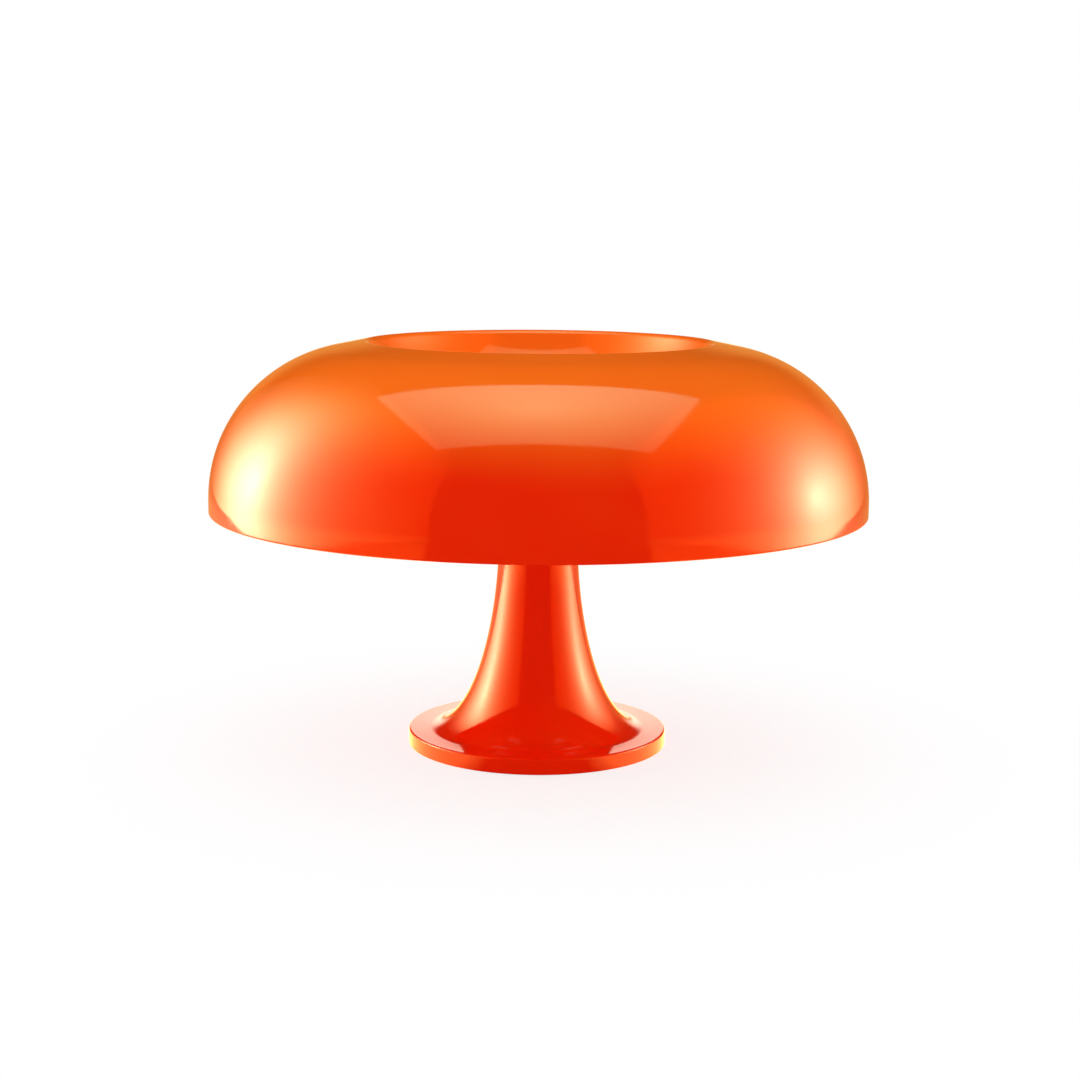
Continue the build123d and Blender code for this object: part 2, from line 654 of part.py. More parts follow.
# Terminal block on the bracket: lead entries in the top, terminal screws at the back
with BuildPart() as terminal_block:
    with BuildSketch(Plane.XY.offset(bracket_top_z)):
        with Locations((0, BLOCK_Y)):
            RectangleRounded(BLOCK_W, BLOCK_D, BLOCK_ROUND)
    extrude(amount=BLOCK_H)
    with BuildSketch(Plane.XY.offset(bracket_top_z)):
        with Locations((0, BLOCK_Y)):
            Circle(BLOCK_PEG_R)
    extrude(amount=-BRACKET_T)
    with BuildSketch(Plane.XY.offset(block_top_z)):
        with Locations((0, BLOCK_Y)):
            with GridLocations(TERMINAL_PITCH, 1, len(HOLDER_ANGLES), 1):
                Circle(lead_hole_r)
    extrude(amount=-LEAD_IN_BLOCK, mode=Mode.SUBTRACT)
    with BuildSketch(Plane.XZ.offset(-BLOCK_Y - BLOCK_D / 2)):
        with Locations((0, bracket_top_z + TERMINAL_RISE)):
            with GridLocations(TERMINAL_PITCH, 1, len(HOLDER_ANGLES), 1):
                Circle(TERMINAL_R + FIT_GAP)
    extrude(amount=TERMINAL_T, mode=Mode.SUBTRACT)
terminal_block.part.label = "terminal_block"
export_step(terminal_block.part, "parts/terminal_block.step")

with BuildPart() as terminal_screws:
    with BuildSketch(Plane.XZ.offset(-BLOCK_Y - BLOCK_D / 2)):
        with Locations((0, bracket_top_z + TERMINAL_RISE)):
            with GridLocations(TERMINAL_PITCH, 1, len(HOLDER_ANGLES), 1):
                Circle(TERMINAL_R)
    extrude(amount=TERMINAL_T)
    with BuildSketch(Plane.XZ.offset(-BLOCK_Y - BLOCK_D / 2)):
        with Locations((0, bracket_top_z + TERMINAL_RISE)):
            with GridLocations(TERMINAL_PITCH, 1, len(HOLDER_ANGLES), 1):
                Rectangle(2 * TERMINAL_R, TERMINAL_SLOT)
    extrude(amount=TERMINAL_T / 2, mode=Mode.SUBTRACT)
terminal_screws.part.label = "terminal_screws"
export_step(terminal_screws.part, "parts/terminal_screws.step")

# Sleeved leads, from the block round the spacer to the back of each lampholder
near_x = 1.5 * TERMINAL_PITCH
far_x = 0.5 * TERMINAL_PITCH
front_angle = HOLDER_ANGLES[-1]
back_angle = HOLDER_ANGLES[0]
near_route = (
    (near_x, BLOCK_Y, block_top_z - LEAD_IN_BLOCK),
    (near_x, BLOCK_Y, lead_z - NEAR_TURN_DROP),
    polar(holder_back - NEAR_TURN_BACK, back_angle, lead_z),
    polar(holder_back + LEAD_IN_HOLDER, back_angle, lead_z),
)
far_route = (
    (far_x, BLOCK_Y, block_top_z - LEAD_IN_BLOCK),
    (far_x, BLOCK_Y, lead_z - FAR_TURN_DROP),
    (SPACER_R + 2 * LEAD_R, FAR_SIDE_Y, lead_z - FAR_SIDE_DROP),
    (SPACER_R + FAR_PASS_GAP, FAR_PASS_Y, lead_z),
    polar(holder_back - FAR_TURN_BACK, front_angle, lead_z),
    polar(holder_back + LEAD_IN_HOLDER, front_angle, lead_z),
)


def bend_radii(points):
    """The largest radius that each corner of a lead's route has room for."""
    radii = []
    for before, corner, after in zip(points, points[1:], points[2:]):
        run_in = Vector(*corner) - Vector(*before)
        run_out = Vector(*after) - Vector(*corner)
        half_turn = radians(run_in.get_angle(run_out)) / 2
        radii.append(0.45 * min(run_in.length, run_out.length) / tan(half_turn))
    return radii


with BuildPart() as leads:
    for route in (near_route, far_route):
        print("lead radii", [round(radius, 1) for radius in bend_radii(route)])
        for side in (1, -1):
            points = [(side * x, y, z) for x, y, z in route]
            with BuildLine() as path:
                FilletPolyline(points, radius=bend_radii(points))
            with BuildSketch(Plane(origin=path.line @ 0, z_dir=path.line % 0)):
                Circle(LEAD_R)
            sweep(path=path.line)
leads.part.label = "leads"
export_step(leads.part, "parts/leads.step")

with BuildPart() as holder_nuts:
    for angle in HOLDER_ANGLES:
        with BuildSketch(cross_plane(angle, TAB_R - NUT_T)):
            RegularPolygon(NUT_FLATS / 2, 6, major_radius=False)
            Circle(NIPPLE_R + RUNNING_GAP, mode=Mode.SUBTRACT)
        extrude(amount=NUT_T)
holder_nuts.part.label = "holder_nuts"
export_step(holder_nuts.part, "parts/holder_nuts.step")

# Lampholders and bulbs, one set for each angle
for number, angle in enumerate(HOLDER_ANGLES, 1):
    # Rear cap with a threaded nipple
    with BuildPart() as holder_cap:
        with BuildSketch(lamp_plane(angle)):
            with BuildLine():
                Polyline(
                    (holder_back - NIPPLE_L, NIPPLE_BORE_R),
                    (holder_back - NIPPLE_L, NIPPLE_R),
                    (holder_back, NIPPLE_R),
                    (holder_back, HOLDER_R),
                    (cap_joint, HOLDER_R),
                    (cap_joint, holder_in_r),
                    (holder_back + BACK_WALL, holder_in_r),
                    (holder_back + BACK_WALL, NIPPLE_BORE_R),
                    close=True,
                )
            make_face()
        revolve(axis=lamp_axis(angle))
        back_rim = holder_cap.edges().filter_by(GeomType.CIRCLE).group_by(SortBy.RADIUS)[-1]
        fillet(back_rim.sort_by(SortBy.DISTANCE, reverse=False)[0], HOLDER_ROUND)
        with BuildSketch(cross_plane(angle, holder_back)):
            with Locations((0, LEAD_HOLE_RISE)):
                Circle(lead_hole_r)
        extrude(amount=BACK_WALL, mode=Mode.SUBTRACT)
    holder_cap.part.label = f"holder_cap_{number}"
    export_step(holder_cap.part, f"parts/holder_cap_{number}.step")

    # Body with the socket
    with BuildPart() as holder_body:
        with BuildSketch(lamp_plane(angle)):
            with BuildLine():
                Polyline(
                    (cap_joint - HOLDER_STEP_L, holder_step_r - HOLDER_WALL),
                    (cap_joint - HOLDER_STEP_L, holder_step_r),
                    (cap_joint, holder_step_r),
                    (cap_joint, HOLDER_R),
                    (holder_mouth, HOLDER_MOUTH_R),
                    (holder_mouth, MOUTH_R),
                    (socket_end, MOUTH_R),
                    (socket_end, SOCKET_R),
                    (socket_floor, SOCKET_R),
                    (socket_floor, 0),
                    (cap_joint, 0),
                    (cap_joint, holder_step_r - HOLDER_WALL),
                    close=True,
                )
            make_face()
        revolve(axis=lamp_axis(angle))
    holder_body.part.label = f"holder_body_{number}"
    export_step(holder_body.part, f"parts/holder_body_{number}.step")

    # Screw shell and centre contact
    with BuildPart() as screw_shell:
        with BuildSketch(lamp_plane(angle)):
            with BuildLine():
                Polyline(
                    (socket_floor, SHELL_HOLE_R),
                    (socket_floor, SHELL_IN_R + SHELL_T),
                    (socket_floor + SHELL_L, SHELL_IN_R + SHELL_T),
                )
                offset(amount=SHELL_T, side=Side.RIGHT)
            make_face()
        revolve(axis=lamp_axis(angle))
    screw_shell.part.label = f"screw_shell_{number}"
    export_step(screw_shell.part, f"parts/screw_shell_{number}.step")

    with BuildPart() as contact_strip:
        with BuildSketch(lamp_plane(angle)):
            with BuildLine():
                FilletPolyline(
                    (socket_floor, -STRIP_REACH),
                    (socket_floor, -STRIP_REACH / 2),
                    (socket_floor + STRIP_RISE, -STRIP_REACH / 4),
                    (socket_floor + STRIP_RISE, STRIP_REACH / 2),
                    radius=STRIP_BEND,
                )
                offset(amount=STRIP_T, side=Side.RIGHT)
            make_face()
        extrude(amount=STRIP_W / 2, both=True)
    contact_strip.part.label = f"contact_strip_{number}"
    export_step(contact_strip.part, f"parts/contact_strip_{number}.step")

    # Bulb: tip, insulator, cap and glass
    with BuildPart() as bulb_tip_contact:
        with BuildSketch(cross_plane(angle, bulb_tip)):
            Circle(TIP_R)
        extrude(amount=TIP_T)
        tip_edges = bulb_tip_contact.edges().filter_by(GeomType.CIRCLE)
        fillet(tip_edges.sort_by(SortBy.DISTANCE)[0], TIP_ROUND)
    bulb_tip_contact.part.label = f"bulb_tip_{number}"
    export_step(bulb_tip_contact.part, f"parts/bulb_tip_{number}.step")

    with BuildPart() as bulb_insulator:
        with BuildSketch(lamp_plane(angle)):
            with BuildLine():
                Polyline(
                    (bulb_tip + TIP_T, 0),
                    (bulb_tip + TIP_T, (TIP_R + INSULATOR_R) / 2),
                    (cap_start, INSULATOR_R),
                    (cap_start + CAP_T + INSULATOR_L, INSULATOR_R),
                    (cap_start + CAP_T + INSULATOR_L, 0),
                    close=True,
                )
            make_face()
        revolve(axis=lamp_axis(angle))
    bulb_insulator.part.label = f"bulb_insulator_{number}"
    export_step(bulb_insulator.part, f"parts/bulb_insulator_{number}.step")

    with BuildPart() as bulb_cap:
        with BuildSketch(lamp_plane(angle)):
            with BuildLine():
                FilletPolyline(
                    (cap_start, INSULATOR_R + RUNNING_GAP),
                    (cap_start, CAP_R),
                    (flare_start, CAP_R),
                    (sleeve_start, CAP_SLEEVE_R),
                    (cap_end, CAP_SLEEVE_R),
                    radius=(2 * CAP_T, CAP_T, 2 * CAP_T),
                )
                offset(amount=CAP_T, side=Side.RIGHT)
            make_face()
        revolve(axis=lamp_axis(angle))
    bulb_cap.part.label = f"bulb_cap_{number}"
    export_step(bulb_cap.part, f"parts/bulb_cap_{number}.step")

    with BuildPart() as bulb_glass:
        with BuildSketch(lamp_plane(angle)):
            with BuildLine():
                reach = hypot(globe_centre - neck_end, NECK_R)
                neck_angle = degrees(atan(NECK_R / (globe_centre - neck_end)))
                globe_turn = 180 - neck_angle - degrees(acos(GLOBE_R / reach))
                globe = CenterArc((globe_centre, 0), GLOBE_R, globe_turn, -globe_turn)
                FilletPolyline(
                    (cap_end - NECK_IN_CAP, NECK_R),
                    (neck_end, NECK_R),
                    globe @ 0,
                    radius=NECK_BLEND,
                )
                offset(amount=GLASS_T, side=Side.RIGHT)
            make_face()
        revolve(axis=lamp_axis(angle))
    bulb_glass.part.label = f"bulb_glass_{number}"
    export_step(bulb_glass.part, f"parts/bulb_glass_{number}.step")
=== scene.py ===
"""Dresses a mushroom table lamp: glossy moulded shade and foot, knob, bulbs, holders, studio."""

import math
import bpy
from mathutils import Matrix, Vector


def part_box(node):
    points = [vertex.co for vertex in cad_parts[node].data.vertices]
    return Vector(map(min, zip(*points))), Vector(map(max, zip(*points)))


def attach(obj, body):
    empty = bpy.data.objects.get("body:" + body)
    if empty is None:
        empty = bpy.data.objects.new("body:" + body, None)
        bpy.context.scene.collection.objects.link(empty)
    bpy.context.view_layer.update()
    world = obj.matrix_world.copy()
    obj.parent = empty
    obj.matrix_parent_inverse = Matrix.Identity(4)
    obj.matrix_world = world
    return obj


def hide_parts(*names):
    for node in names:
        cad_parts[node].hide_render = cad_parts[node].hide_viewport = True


bl_info = {
    "name": "Mushroom Table Lamp",
    "version": (1, 0, 0),
    "blender": (4, 5, 0),
    "location": "View3D > Sidebar > Lamp",
    "description": "Dresses the construction model of a mushroom table lamp and lights it",
    "category": "Object",
}

import bmesh
import bpy
from mathutils import Matrix, Vector

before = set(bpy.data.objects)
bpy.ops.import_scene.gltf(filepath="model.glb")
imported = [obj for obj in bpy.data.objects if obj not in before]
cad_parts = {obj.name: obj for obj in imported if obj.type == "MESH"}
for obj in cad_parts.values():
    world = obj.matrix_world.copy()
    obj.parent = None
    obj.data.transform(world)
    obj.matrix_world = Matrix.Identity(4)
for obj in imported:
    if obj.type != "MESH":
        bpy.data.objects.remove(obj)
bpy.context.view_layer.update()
SHADE_NODES = [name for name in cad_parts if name.startswith("shade_")]
RIM_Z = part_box("shade_dome")[0][2]
CREST_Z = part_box("shade_dome")[1][2]
SHADE_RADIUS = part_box("shade_dome")[1][0]
KNOB_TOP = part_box("knob")[1][2]
PLATE_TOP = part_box("ballast_plate")[1][2]
TUBE_LOW, TUBE_HIGH = (corner[2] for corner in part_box("centre_tube"))

LAMP_ANGLES = (45, 135, 225, 315)
WHITE = (1.0, 1.0, 1.0, 1.0)
LEFT_CORE = (-1.3, 0.3, 0.4)  # metres: the lamps behind the side panels
RIGHT_CORE = (1.3, 0.17, 0.32)
SMOOTH_LIMIT = 32  # degrees: edges that turn more than this stay sharp
WELD = 1e-6  # metres, between points that are the same point
THREAD_ROWS = 8  # rows of points along one pitch of a screw thread
BESIDE_ROUNDING = 1.25  # place of the guard point beside a rounding, in lengths of its cut
COLUMN_NUDGE = 0.0005  # of a column, so that the first point of a column never rounds down
FLUTE_WIDENING = 0.15  # added to the wave of the flutes, so that they are wider than the lands
BOSS_ANGLE = 30  # degrees: the first screw boss, over the first screw of the plate
GUSSET_ANGLE = 15  # degrees: the first gusset, so that each boss is midway between two
PEG_COUNT = 2  # one on each side of the tube
HEART_SHARE = 0.56  # of a halo's spread, for the heart of light inside it
POINTED, DOMED, FLAT = 1.2, 2.0, 6.0  # steepness: how a spot of light falls off to its edge


def mm(value):
    """Millimetres as metres."""
    return value / 1000


def length(name, millimetres, description):
    """A length property with its default in millimetres."""
    return bpy.props.FloatProperty(
        name=name,
        description=description,
        default=mm(millimetres),
        min=0,
        unit="LENGTH",
        precision=4,
    )


def angle_of(name, degrees, description):
    """An angle property with its default in degrees."""
    return bpy.props.FloatProperty(
        name=name, description=description, default=math.radians(degrees), subtype="ANGLE"
    )


def count_of(name, value, description, least=1):
    """A property for a number of like things."""
    return bpy.props.IntProperty(name=name, description=description, default=value, min=least)


def radiance(name, value, description):
    """A property for the strength of a light."""
    return bpy.props.FloatProperty(name=name, description=description, default=value, min=0)


def linear(code):
    """A hex code in sRGB as linear red, green, blue and alpha."""
    channels = [int(code[i : i + 2], 16) / 255 for i in (1, 3, 5)]
    return (*(c / 12.92 if c <= 0.04045 else ((c + 0.055) / 1.055) ** 2.4 for c in channels), 1.0)


def colour(name, code, description):
    """A colour property whose default is an sRGB hex code."""
    return bpy.props.FloatVectorProperty(
        name=name,
        description=description,
        default=linear(code),
        size=4,
        min=0,
        max=1,
        subtype="COLOR",
    )


class ShadeSizes(bpy.types.PropertyGroup):
    """Sizes of the shade"""

    wall: length("Wall", 3.0, "Thickness of the moulding")
    band: length("Band", 10.0, "Height of the upright band above the rim")
    rim_round: length("Rim round", 1.2, "Rounding of both edges of the rim")
    dome_arc: length("Shoulder", 125.3, "Radius of the shoulder in section")
    slope: angle_of("Flank slope", 11.2, "Slope of the flank below the lip")
    lip_inset: length("Lip inset", 126.5, "From the rim in to the lip's highest ring")
    lip_round: length("Lip round", 5.0, "Rounding of the lip in section")
    bowl_depth: length("Bowl depth", 71.0, "From the lip down to the bowl's floor")
    bowl_floor: length("Bowl floor", 46.0, "Radius of the bowl's flat floor")
    hole: length("Centre hole", 9.3, "Radius of the hole in the bowl's floor")
    spigot: length("Spigot radius", 34.3, "Inner radius of the ring under the bowl")
    spigot_height: length("Spigot height", 5.0, "Height of the ring under the bowl")
    rib_reach: length("Rib reach", 9.0, "How far the ribs run out from the ring")
    rib_thickness: length("Rib thickness", 2.2, "Thickness of the ribs")
    rib_count: count_of("Ribs", 8, "Number of ribs")


class FootSizes(bpy.types.PropertyGroup):
    """Sizes of the foot and column"""

    radius: length("Foot radius", 107.6, "Outside radius of the foot")
    lift: length("Skirt lift", 0.8, "Gap between the skirt and the table")
    thickness: length("Foot top", 13.5, "Height of the foot's flat top")
    wall: length("Wall", 3.2, "Thickness of the moulding")
    edge: length("Edge round", 1.5, "Rounding of the foot's top edge")
    column: length("Column radius", 32.6, "Radius of the column")
    column_top: length("Column top", 206.0, "Height of the column's top")
    column_round: length("Column round", 0.8, "Rounding of the column's top edge")
    flare_top: length("Flare top", 180.0, "Height at which the flare begins")
    flare_run: length("Flare run", 57.9, "How far the flare spreads")
    tube_hole: length("Tube hole", 5.1, "Radius of the hole for the tube")
    flex_hole: length("Flex hole", 4.2, "Radius of the hole for the flex")
    flex_hole_place: length("Flex hole place", 15.0, "Distance of the flex hole from the centre")
    outlet_hole: length("Outlet hole", 3.65, "Radius of the hole for the outlet bush")
    outlet_height: length("Outlet height", 6.15, "Height of the outlet above the table")
    boss: length("Boss radius", 4.5, "Radius of the screw bosses inside the flare")
    boss_place: length("Boss place", 62.0, "Distance of the screw bosses from the centre")
    boss_bore: length("Boss bore", 1.95, "Radius of the hole in a screw boss")
    boss_bore_depth: length("Boss bore depth", 14.0, "Depth of the hole in a screw boss")
    boss_count: count_of("Bosses", 3, "Number of screw bosses")
    gusset_reach: length("Gusset reach", 12.0, "How far the gussets run in from the skirt")
    gusset_thickness: length("Gusset thickness", 2.4, "Thickness of the gussets")
    gusset_count: count_of("Gussets", 12, "Number of gussets")
    peg: length("Peg radius", 2.0, "Radius of the pegs that keep the bracket from turning")
    peg_place: length("Peg place", 16.5, "Distance of the pegs from the centre")
    peg_height: length("Peg height", 1.5, "Height of the pegs above the column")


class KnobSizes(bpy.types.PropertyGroup):
    """Sizes of the knob in the bowl"""

    radius: length("Radius", 30.0, "Outside radius")
    wall: length("Wall", 2.5, "Thickness of the moulding")
    edge_height: length("Edge height", 9.0, "Height of the fluted edge")
    crown: length("Crown", 7.0, "Rise of the crown above the edge")
    edge_round: length("Edge round", 1.5, "Rounding between edge and crown")
    boss: length("Boss", 10.5, "Outer radius of the boss round the insert")
    boss_lift: length("Boss lift", 0.5, "Gap under the boss")
    insert: length("Insert radius", 8.05, "Radius of the pocket for the threaded insert")
    insert_height: length("Insert height", 8.5, "Depth of the pocket for the insert")
    tube_room: length("Tube room", 5.25, "Radius of the room for the tube's end")
    tube_room_height: length("Tube room height", 11.5, "Height of that room above the bowl's floor")
    flute_depth: length("Flute depth", 0.9, "Depth of the flutes")
    flute_count: count_of("Flutes", 24, "Number of flutes", least=3)
    rib_lift: length("Rib lift", 4.5, "Height of the ribs' lower edge inside the knob")
    rib_thickness: length("Rib thickness", 2.0, "Thickness of the ribs inside the knob")
    rib_count: count_of("Ribs", 6, "Number of ribs inside the knob")


class HolderSizes(bpy.types.PropertyGroup):
    """Sizes of the lampholders, along the lamp's axis from the centre line"""

    axis_height: length("Axis height", 226.0, "Height of the lamps' axes")
    back: length("Back", 25.5, "Back of the lampholder")
    joint: length("Joint", 38.5, "Joint between rear cap and body")
    floor: length("Socket floor", 41.0, "Floor of the socket")
    socket_end: length("Socket end", 60.0, "End of the socket's narrow part")
    mouth: length("Mouth", 67.5, "Mouth of the lampholder")
    radius: length("Radius", 13.0, "Outside radius")
    mouth_radius: length("Mouth radius", 12.2, "Outside radius at the mouth")
    rounding: length("Rounding", 1.2, "Rounding of the back's edge")
    inner: length("Inner radius", 10.8, "Inner radius of the rear cap")
    step: length("Step radius", 10.65, "Radius of the step that fits in the rear cap")
    step_length: length("Step length", 5.0, "Length of that step")
    wall: length("Wall", 2.2, "Thickness of the step's wall")
    back_wall: length("Back wall", 2.5, "Thickness of the back")
    bore: length("Socket bore", 8.1, "Radius of the socket")
    mouth_bore: length("Mouth bore", 9.6, "Inner radius at the mouth")
    nipple: length("Nipple", 4.9, "Radius of the threaded nipple")
    nipple_length: length("Nipple length", 6.5, "Length of the nipple")
    nipple_bore: length("Nipple bore", 3.2, "Inner radius of the nipple")
    lead_hole: length("Lead hole", 1.6, "Radius of the hole for the lead")
    lead_rise: length("Lead rise", 9.0, "Height of that hole above the axis")
    flute_count: count_of("Grip ribs", 36, "Grooves round the rear cap", least=3)
    flute_depth: length("Grip depth", 0.35, "Depth of those grooves")


class BulbSizes(bpy.types.PropertyGroup):
    """Sizes of the bulbs and screw shells, along the lamp's axis from the centre line"""

    cap_start: length("Cap start", 49.1, "Start of the screw cap")
    flare_start: length("Flare start", 65.2, "Start of the cap's flare")
    sleeve_start: length("Sleeve start", 66.9, "Start of the cap's sleeve")
    cap_end: length("Cap end", 69.9, "End of the cap")
    cap_hole: length("Cap hole", 5.05, "Radius of the hole round the insulator")
    cap: length("Cap", 6.9, "Radius of the cap's thread")
    sleeve: length("Sleeve", 8.5, "Radius of the cap's sleeve")
    cap_wall: length("Cap wall", 0.4, "Thickness of the cap")
    neck_start: length("Neck start", 67.4, "Start of the glass, inside the cap")
    neck_end: length("Neck end", 71.9, "End of the straight neck")
    neck: length("Neck", 7.95, "Radius of the neck")
    neck_blend: length("Neck blend", 9.0, "Radius where neck and globe meet")
    centre: length("Globe centre", 100.9, "Centre of the globe")
    globe: length("Globe", 22.5, "Radius of the globe")
    glass: length("Glass", 0.9, "Thickness of the glass")
    pitch: length("Thread pitch", 2.822, "Pitch of the screw")
    thread_depth: length("Thread depth", 0.55, "Depth of the rolled thread")
    shell_start: length("Shell start", 41.0, "Floor of the screw shell")
    shell_end: length("Shell end", 59.0, "Mouth of the screw shell")
    shell: length("Shell", 7.3, "Inner radius of the screw shell")
    shell_wall: length("Shell wall", 0.5, "Thickness of the screw shell")
    shell_hole: length("Shell hole", 4.2, "Radius of the hole in the shell's floor")


class TubeSizes(bpy.types.PropertyGroup):
    """Sizes of the centre tube"""

    radius: length("Radius", 4.95, "Outside radius")
    bore: length("Bore", 3.3, "Inner radius")
    chamfer: length("Chamfer", 0.6, "Chamfer of both ends")
    pitch: length("Thread pitch", 1.0, "Pitch of the thread")
    thread_depth: length("Thread depth", 0.5, "Depth of the thread")
    low_thread: length("Lower thread", 10.0, "Height at which the lower thread ends")
    high_thread: length("Upper thread", 240.0, "Height at which the upper thread starts")


class Finishes(bpy.types.PropertyGroup):
    """Colours of the finishes"""

    # One dye in two colours: painted shade makes it darker red low down, painted light makes it
    # lighter orange at the lip
    plastic_low: colour("Plastic, low", "#E62303", "Dyed plastic of the foot and the rim")
    plastic_high: colour("Plastic, high", "#F56A14", "Dyed plastic at the lip")
    gleam: colour("Gleam", "#FFDDAA", "Warm cast of the plastic's own reflections")
    brass: colour("Brass", "#C9A254", "Bare brass")
    zinc: colour("Zinc", "#B4B7B6", "Bright zinc plating")
    cap: colour("Bulb cap", "#D2D0CB", "Rolled aluminium of the bulb caps")
    thermoset: colour("Lampholders", "#211B17", "Pressed thermoset")
    opal: colour("Opal glass", "#F3F0E8", "Opal glass of the bulbs")
    felt: colour("Felt", "#2A2824", "Pressed felt under the foot")
    paint: colour("Plate paint", "#25272A", "Paint of the ballast plate")
    polyamide: colour("Terminal block", "#DEDCD2", "Moulded polyamide")
    sleeve: colour("Lead sleeve", "#D9D3C2", "Braided glass-fibre sleeve")
    rubber: colour("Gasket", "#1C1C1C", "Moulded rubber")
    vitrite: colour("Insulator", "#0B0A0E", "Black glass of the bulb's base")
    solder: colour("Solder", "#A9ABAE", "Tinned contact")
    bush: colour("Bush", "#17181A", "Moulded nylon")


class StudioLook(bpy.types.PropertyGroup):
    """Lights and floor of the studio"""

    floor_colour: colour("Floor", "#F7F7F7", "Paper floor")
    glow: colour("Glow", "#FFE294", "Diffuser of a side panel, round its core")
    daylight: colour("Daylight", "#AAF0DE", "Diffuser of the overhead panel")
    gel: colour("Gel", "#FF5A0A", "Diffuser of the side panels, far from their cores")
    amber: colour("Amber", "#F0A850", "Table and wall behind the lamp, in reflections")
    overhead: radiance("Overhead", 3.0, "Radiance of the overhead panel's core")
    left: radiance("Left", 10.5, "Radiance of the left panel's core")
    right: radiance("Right", 8.4, "Radiance of the right panel's core")
    gel_level: radiance("Gel level", 3.0, "Radiance of the side panels far from their cores")
    pool: radiance(
        "Pools", 2.4, "Radiance of the lit table on both sides of the foot, in reflections"
    )
    table: radiance(
        "Table", 0.2, "Share of the side panels' cores that the table shows in reflections"
    )
    behind: radiance("Behind", 0.75, "Radiance of the table and wall behind, in reflections")
    card_colour: colour("Card colour", "#FFF4E0", "White card behind the foot")
    card: radiance("Card", 2.7, "Radiance of that card")
    lighting: radiance("Lighting", 0.12, "Share of the panels' radiance that lights matt surfaces")
    fill: radiance("Fill", 1.02, "Radiance of the room at eye level on matt surfaces")
    fill_above: radiance("Fill above", 0.88, "Radiance of the ceiling on matt surfaces")
    room: radiance("Room", 0.12, "Radiance of the room above the table's edge, in reflections")
    front: radiance("Front", 0.02, "Radiance of the dark side of the room, in reflections")
    dark_side: angle_of("Dark side", 34, "Half the width of the dark side of the room")


def arc(centre, radii, start, end, steps):
    """Corners along an arc or a part of an ellipse in section, from start to end in degrees."""
    corners = []
    for step in range(steps + 1):
        angle = math.radians(start + (end - start) * step / steps)
        out, up = radii[0] * math.cos(angle), radii[1] * math.sin(angle)
        corners.append((centre[0] + out, centre[1] + up, 0))
    return corners


def rows(radius, start, end, pitch):
    """Corners up a straight wall, close enough together to carry a screw thread."""
    count = math.ceil(abs(end - start) / pitch * THREAD_ROWS)
    return [(radius, start + (end - start) * step / count, 0) for step in range(count + 1)]


def rounded(corners, steps=5):
    """The points of a closed outline through (r, z, rounding) corners, each rounded by an arc."""
    points = []
    for i, (r, z, rounding) in enumerate(corners):
        corner = Vector((r, z))
        if not rounding:
            points.append(corner)
            continue
        back = (Vector(corners[i - 1][:2]) - corner).normalized()
        ahead = (Vector(corners[(i + 1) % len(corners)][:2]) - corner).normalized()
        half = back.angle(ahead) / 2
        cut = rounding / math.tan(half)
        centre = corner + (back + ahead).normalized() * rounding / math.sin(half)
        start = (corner + back * cut - centre).normalized()
        end = (corner + ahead * cut - centre).normalized()
        # A point just outside the arc keeps the flat beside it flat in shading
        points.append(corner + back * cut * BESIDE_ROUNDING)
        points += [centre + start.slerp(end, step / steps) * rounding for step in range(steps + 1)]
        points.append(corner + ahead * cut * BESIDE_ROUNDING)
    return points + points[:1]


def add(tree, kind, inputs=None, **settings):
    """Adds a node: settings are its own properties, inputs are values, or nodes or sockets to link.

    A kind without Node in it is a shader node.
    """
    node = tree.nodes.new(kind if "Node" in kind else "ShaderNode" + kind)
    number = len(tree.nodes)
    node.location = (200 * (number % 12), -250 * (number // 12))
    for name, value in settings.items():
        setattr(node, name, value)
    for key, value in (inputs or {}).items():
        if isinstance(value, bpy.types.Node):
            tree.links.new(value.outputs[0], node.inputs[key])
        elif isinstance(value, bpy.types.NodeSocket):
            tree.links.new(value, node.inputs[key])
        else:
            node.inputs[key].default_value = value
    return node


def new_tree(name, inputs):
    """A geometry node tree with named inputs, and its group input node."""
    tree = bpy.data.node_groups.new(name, "GeometryNodeTree")
    tree.interface.new_socket("Geometry", in_out="INPUT", socket_type="NodeSocketGeometry")
    for label, kind, default in inputs:
        socket = tree.interface.new_socket(label, in_out="INPUT", socket_type="NodeSocket" + kind)
        if default is not None:
            socket.default_value = default
    tree.interface.new_socket("Geometry", in_out="OUTPUT", socket_type="NodeSocketGeometry")
    return tree, add(tree, "NodeGroupInput")


def close_tree(tree, geometry, material):
    """Ends a tree as every tree here ends: instances made real, smoothed, given their material."""
    real = add(tree, "GeometryNodeRealizeInstances", {0: geometry})
    angle = add(tree, "GeometryNodeInputMeshEdgeAngle")
    limit = math.radians(SMOOTH_LIMIT)
    sharp = add(tree, "FunctionNodeCompare", {0: angle, 1: limit}, operation="GREATER_THAN")
    smooth = add(tree, "GeometryNodeSetShadeSmooth", {0: real})
    inputs = {0: smooth, "Selection": sharp, "Shade Smooth": False}
    creased = add(tree, "GeometryNodeSetShadeSmooth", inputs, domain="EDGE")
    painted = add(tree, "GeometryNodeSetMaterial", {0: creased, "Material": material})
    add(tree, "NodeGroupOutput", {0: painted})


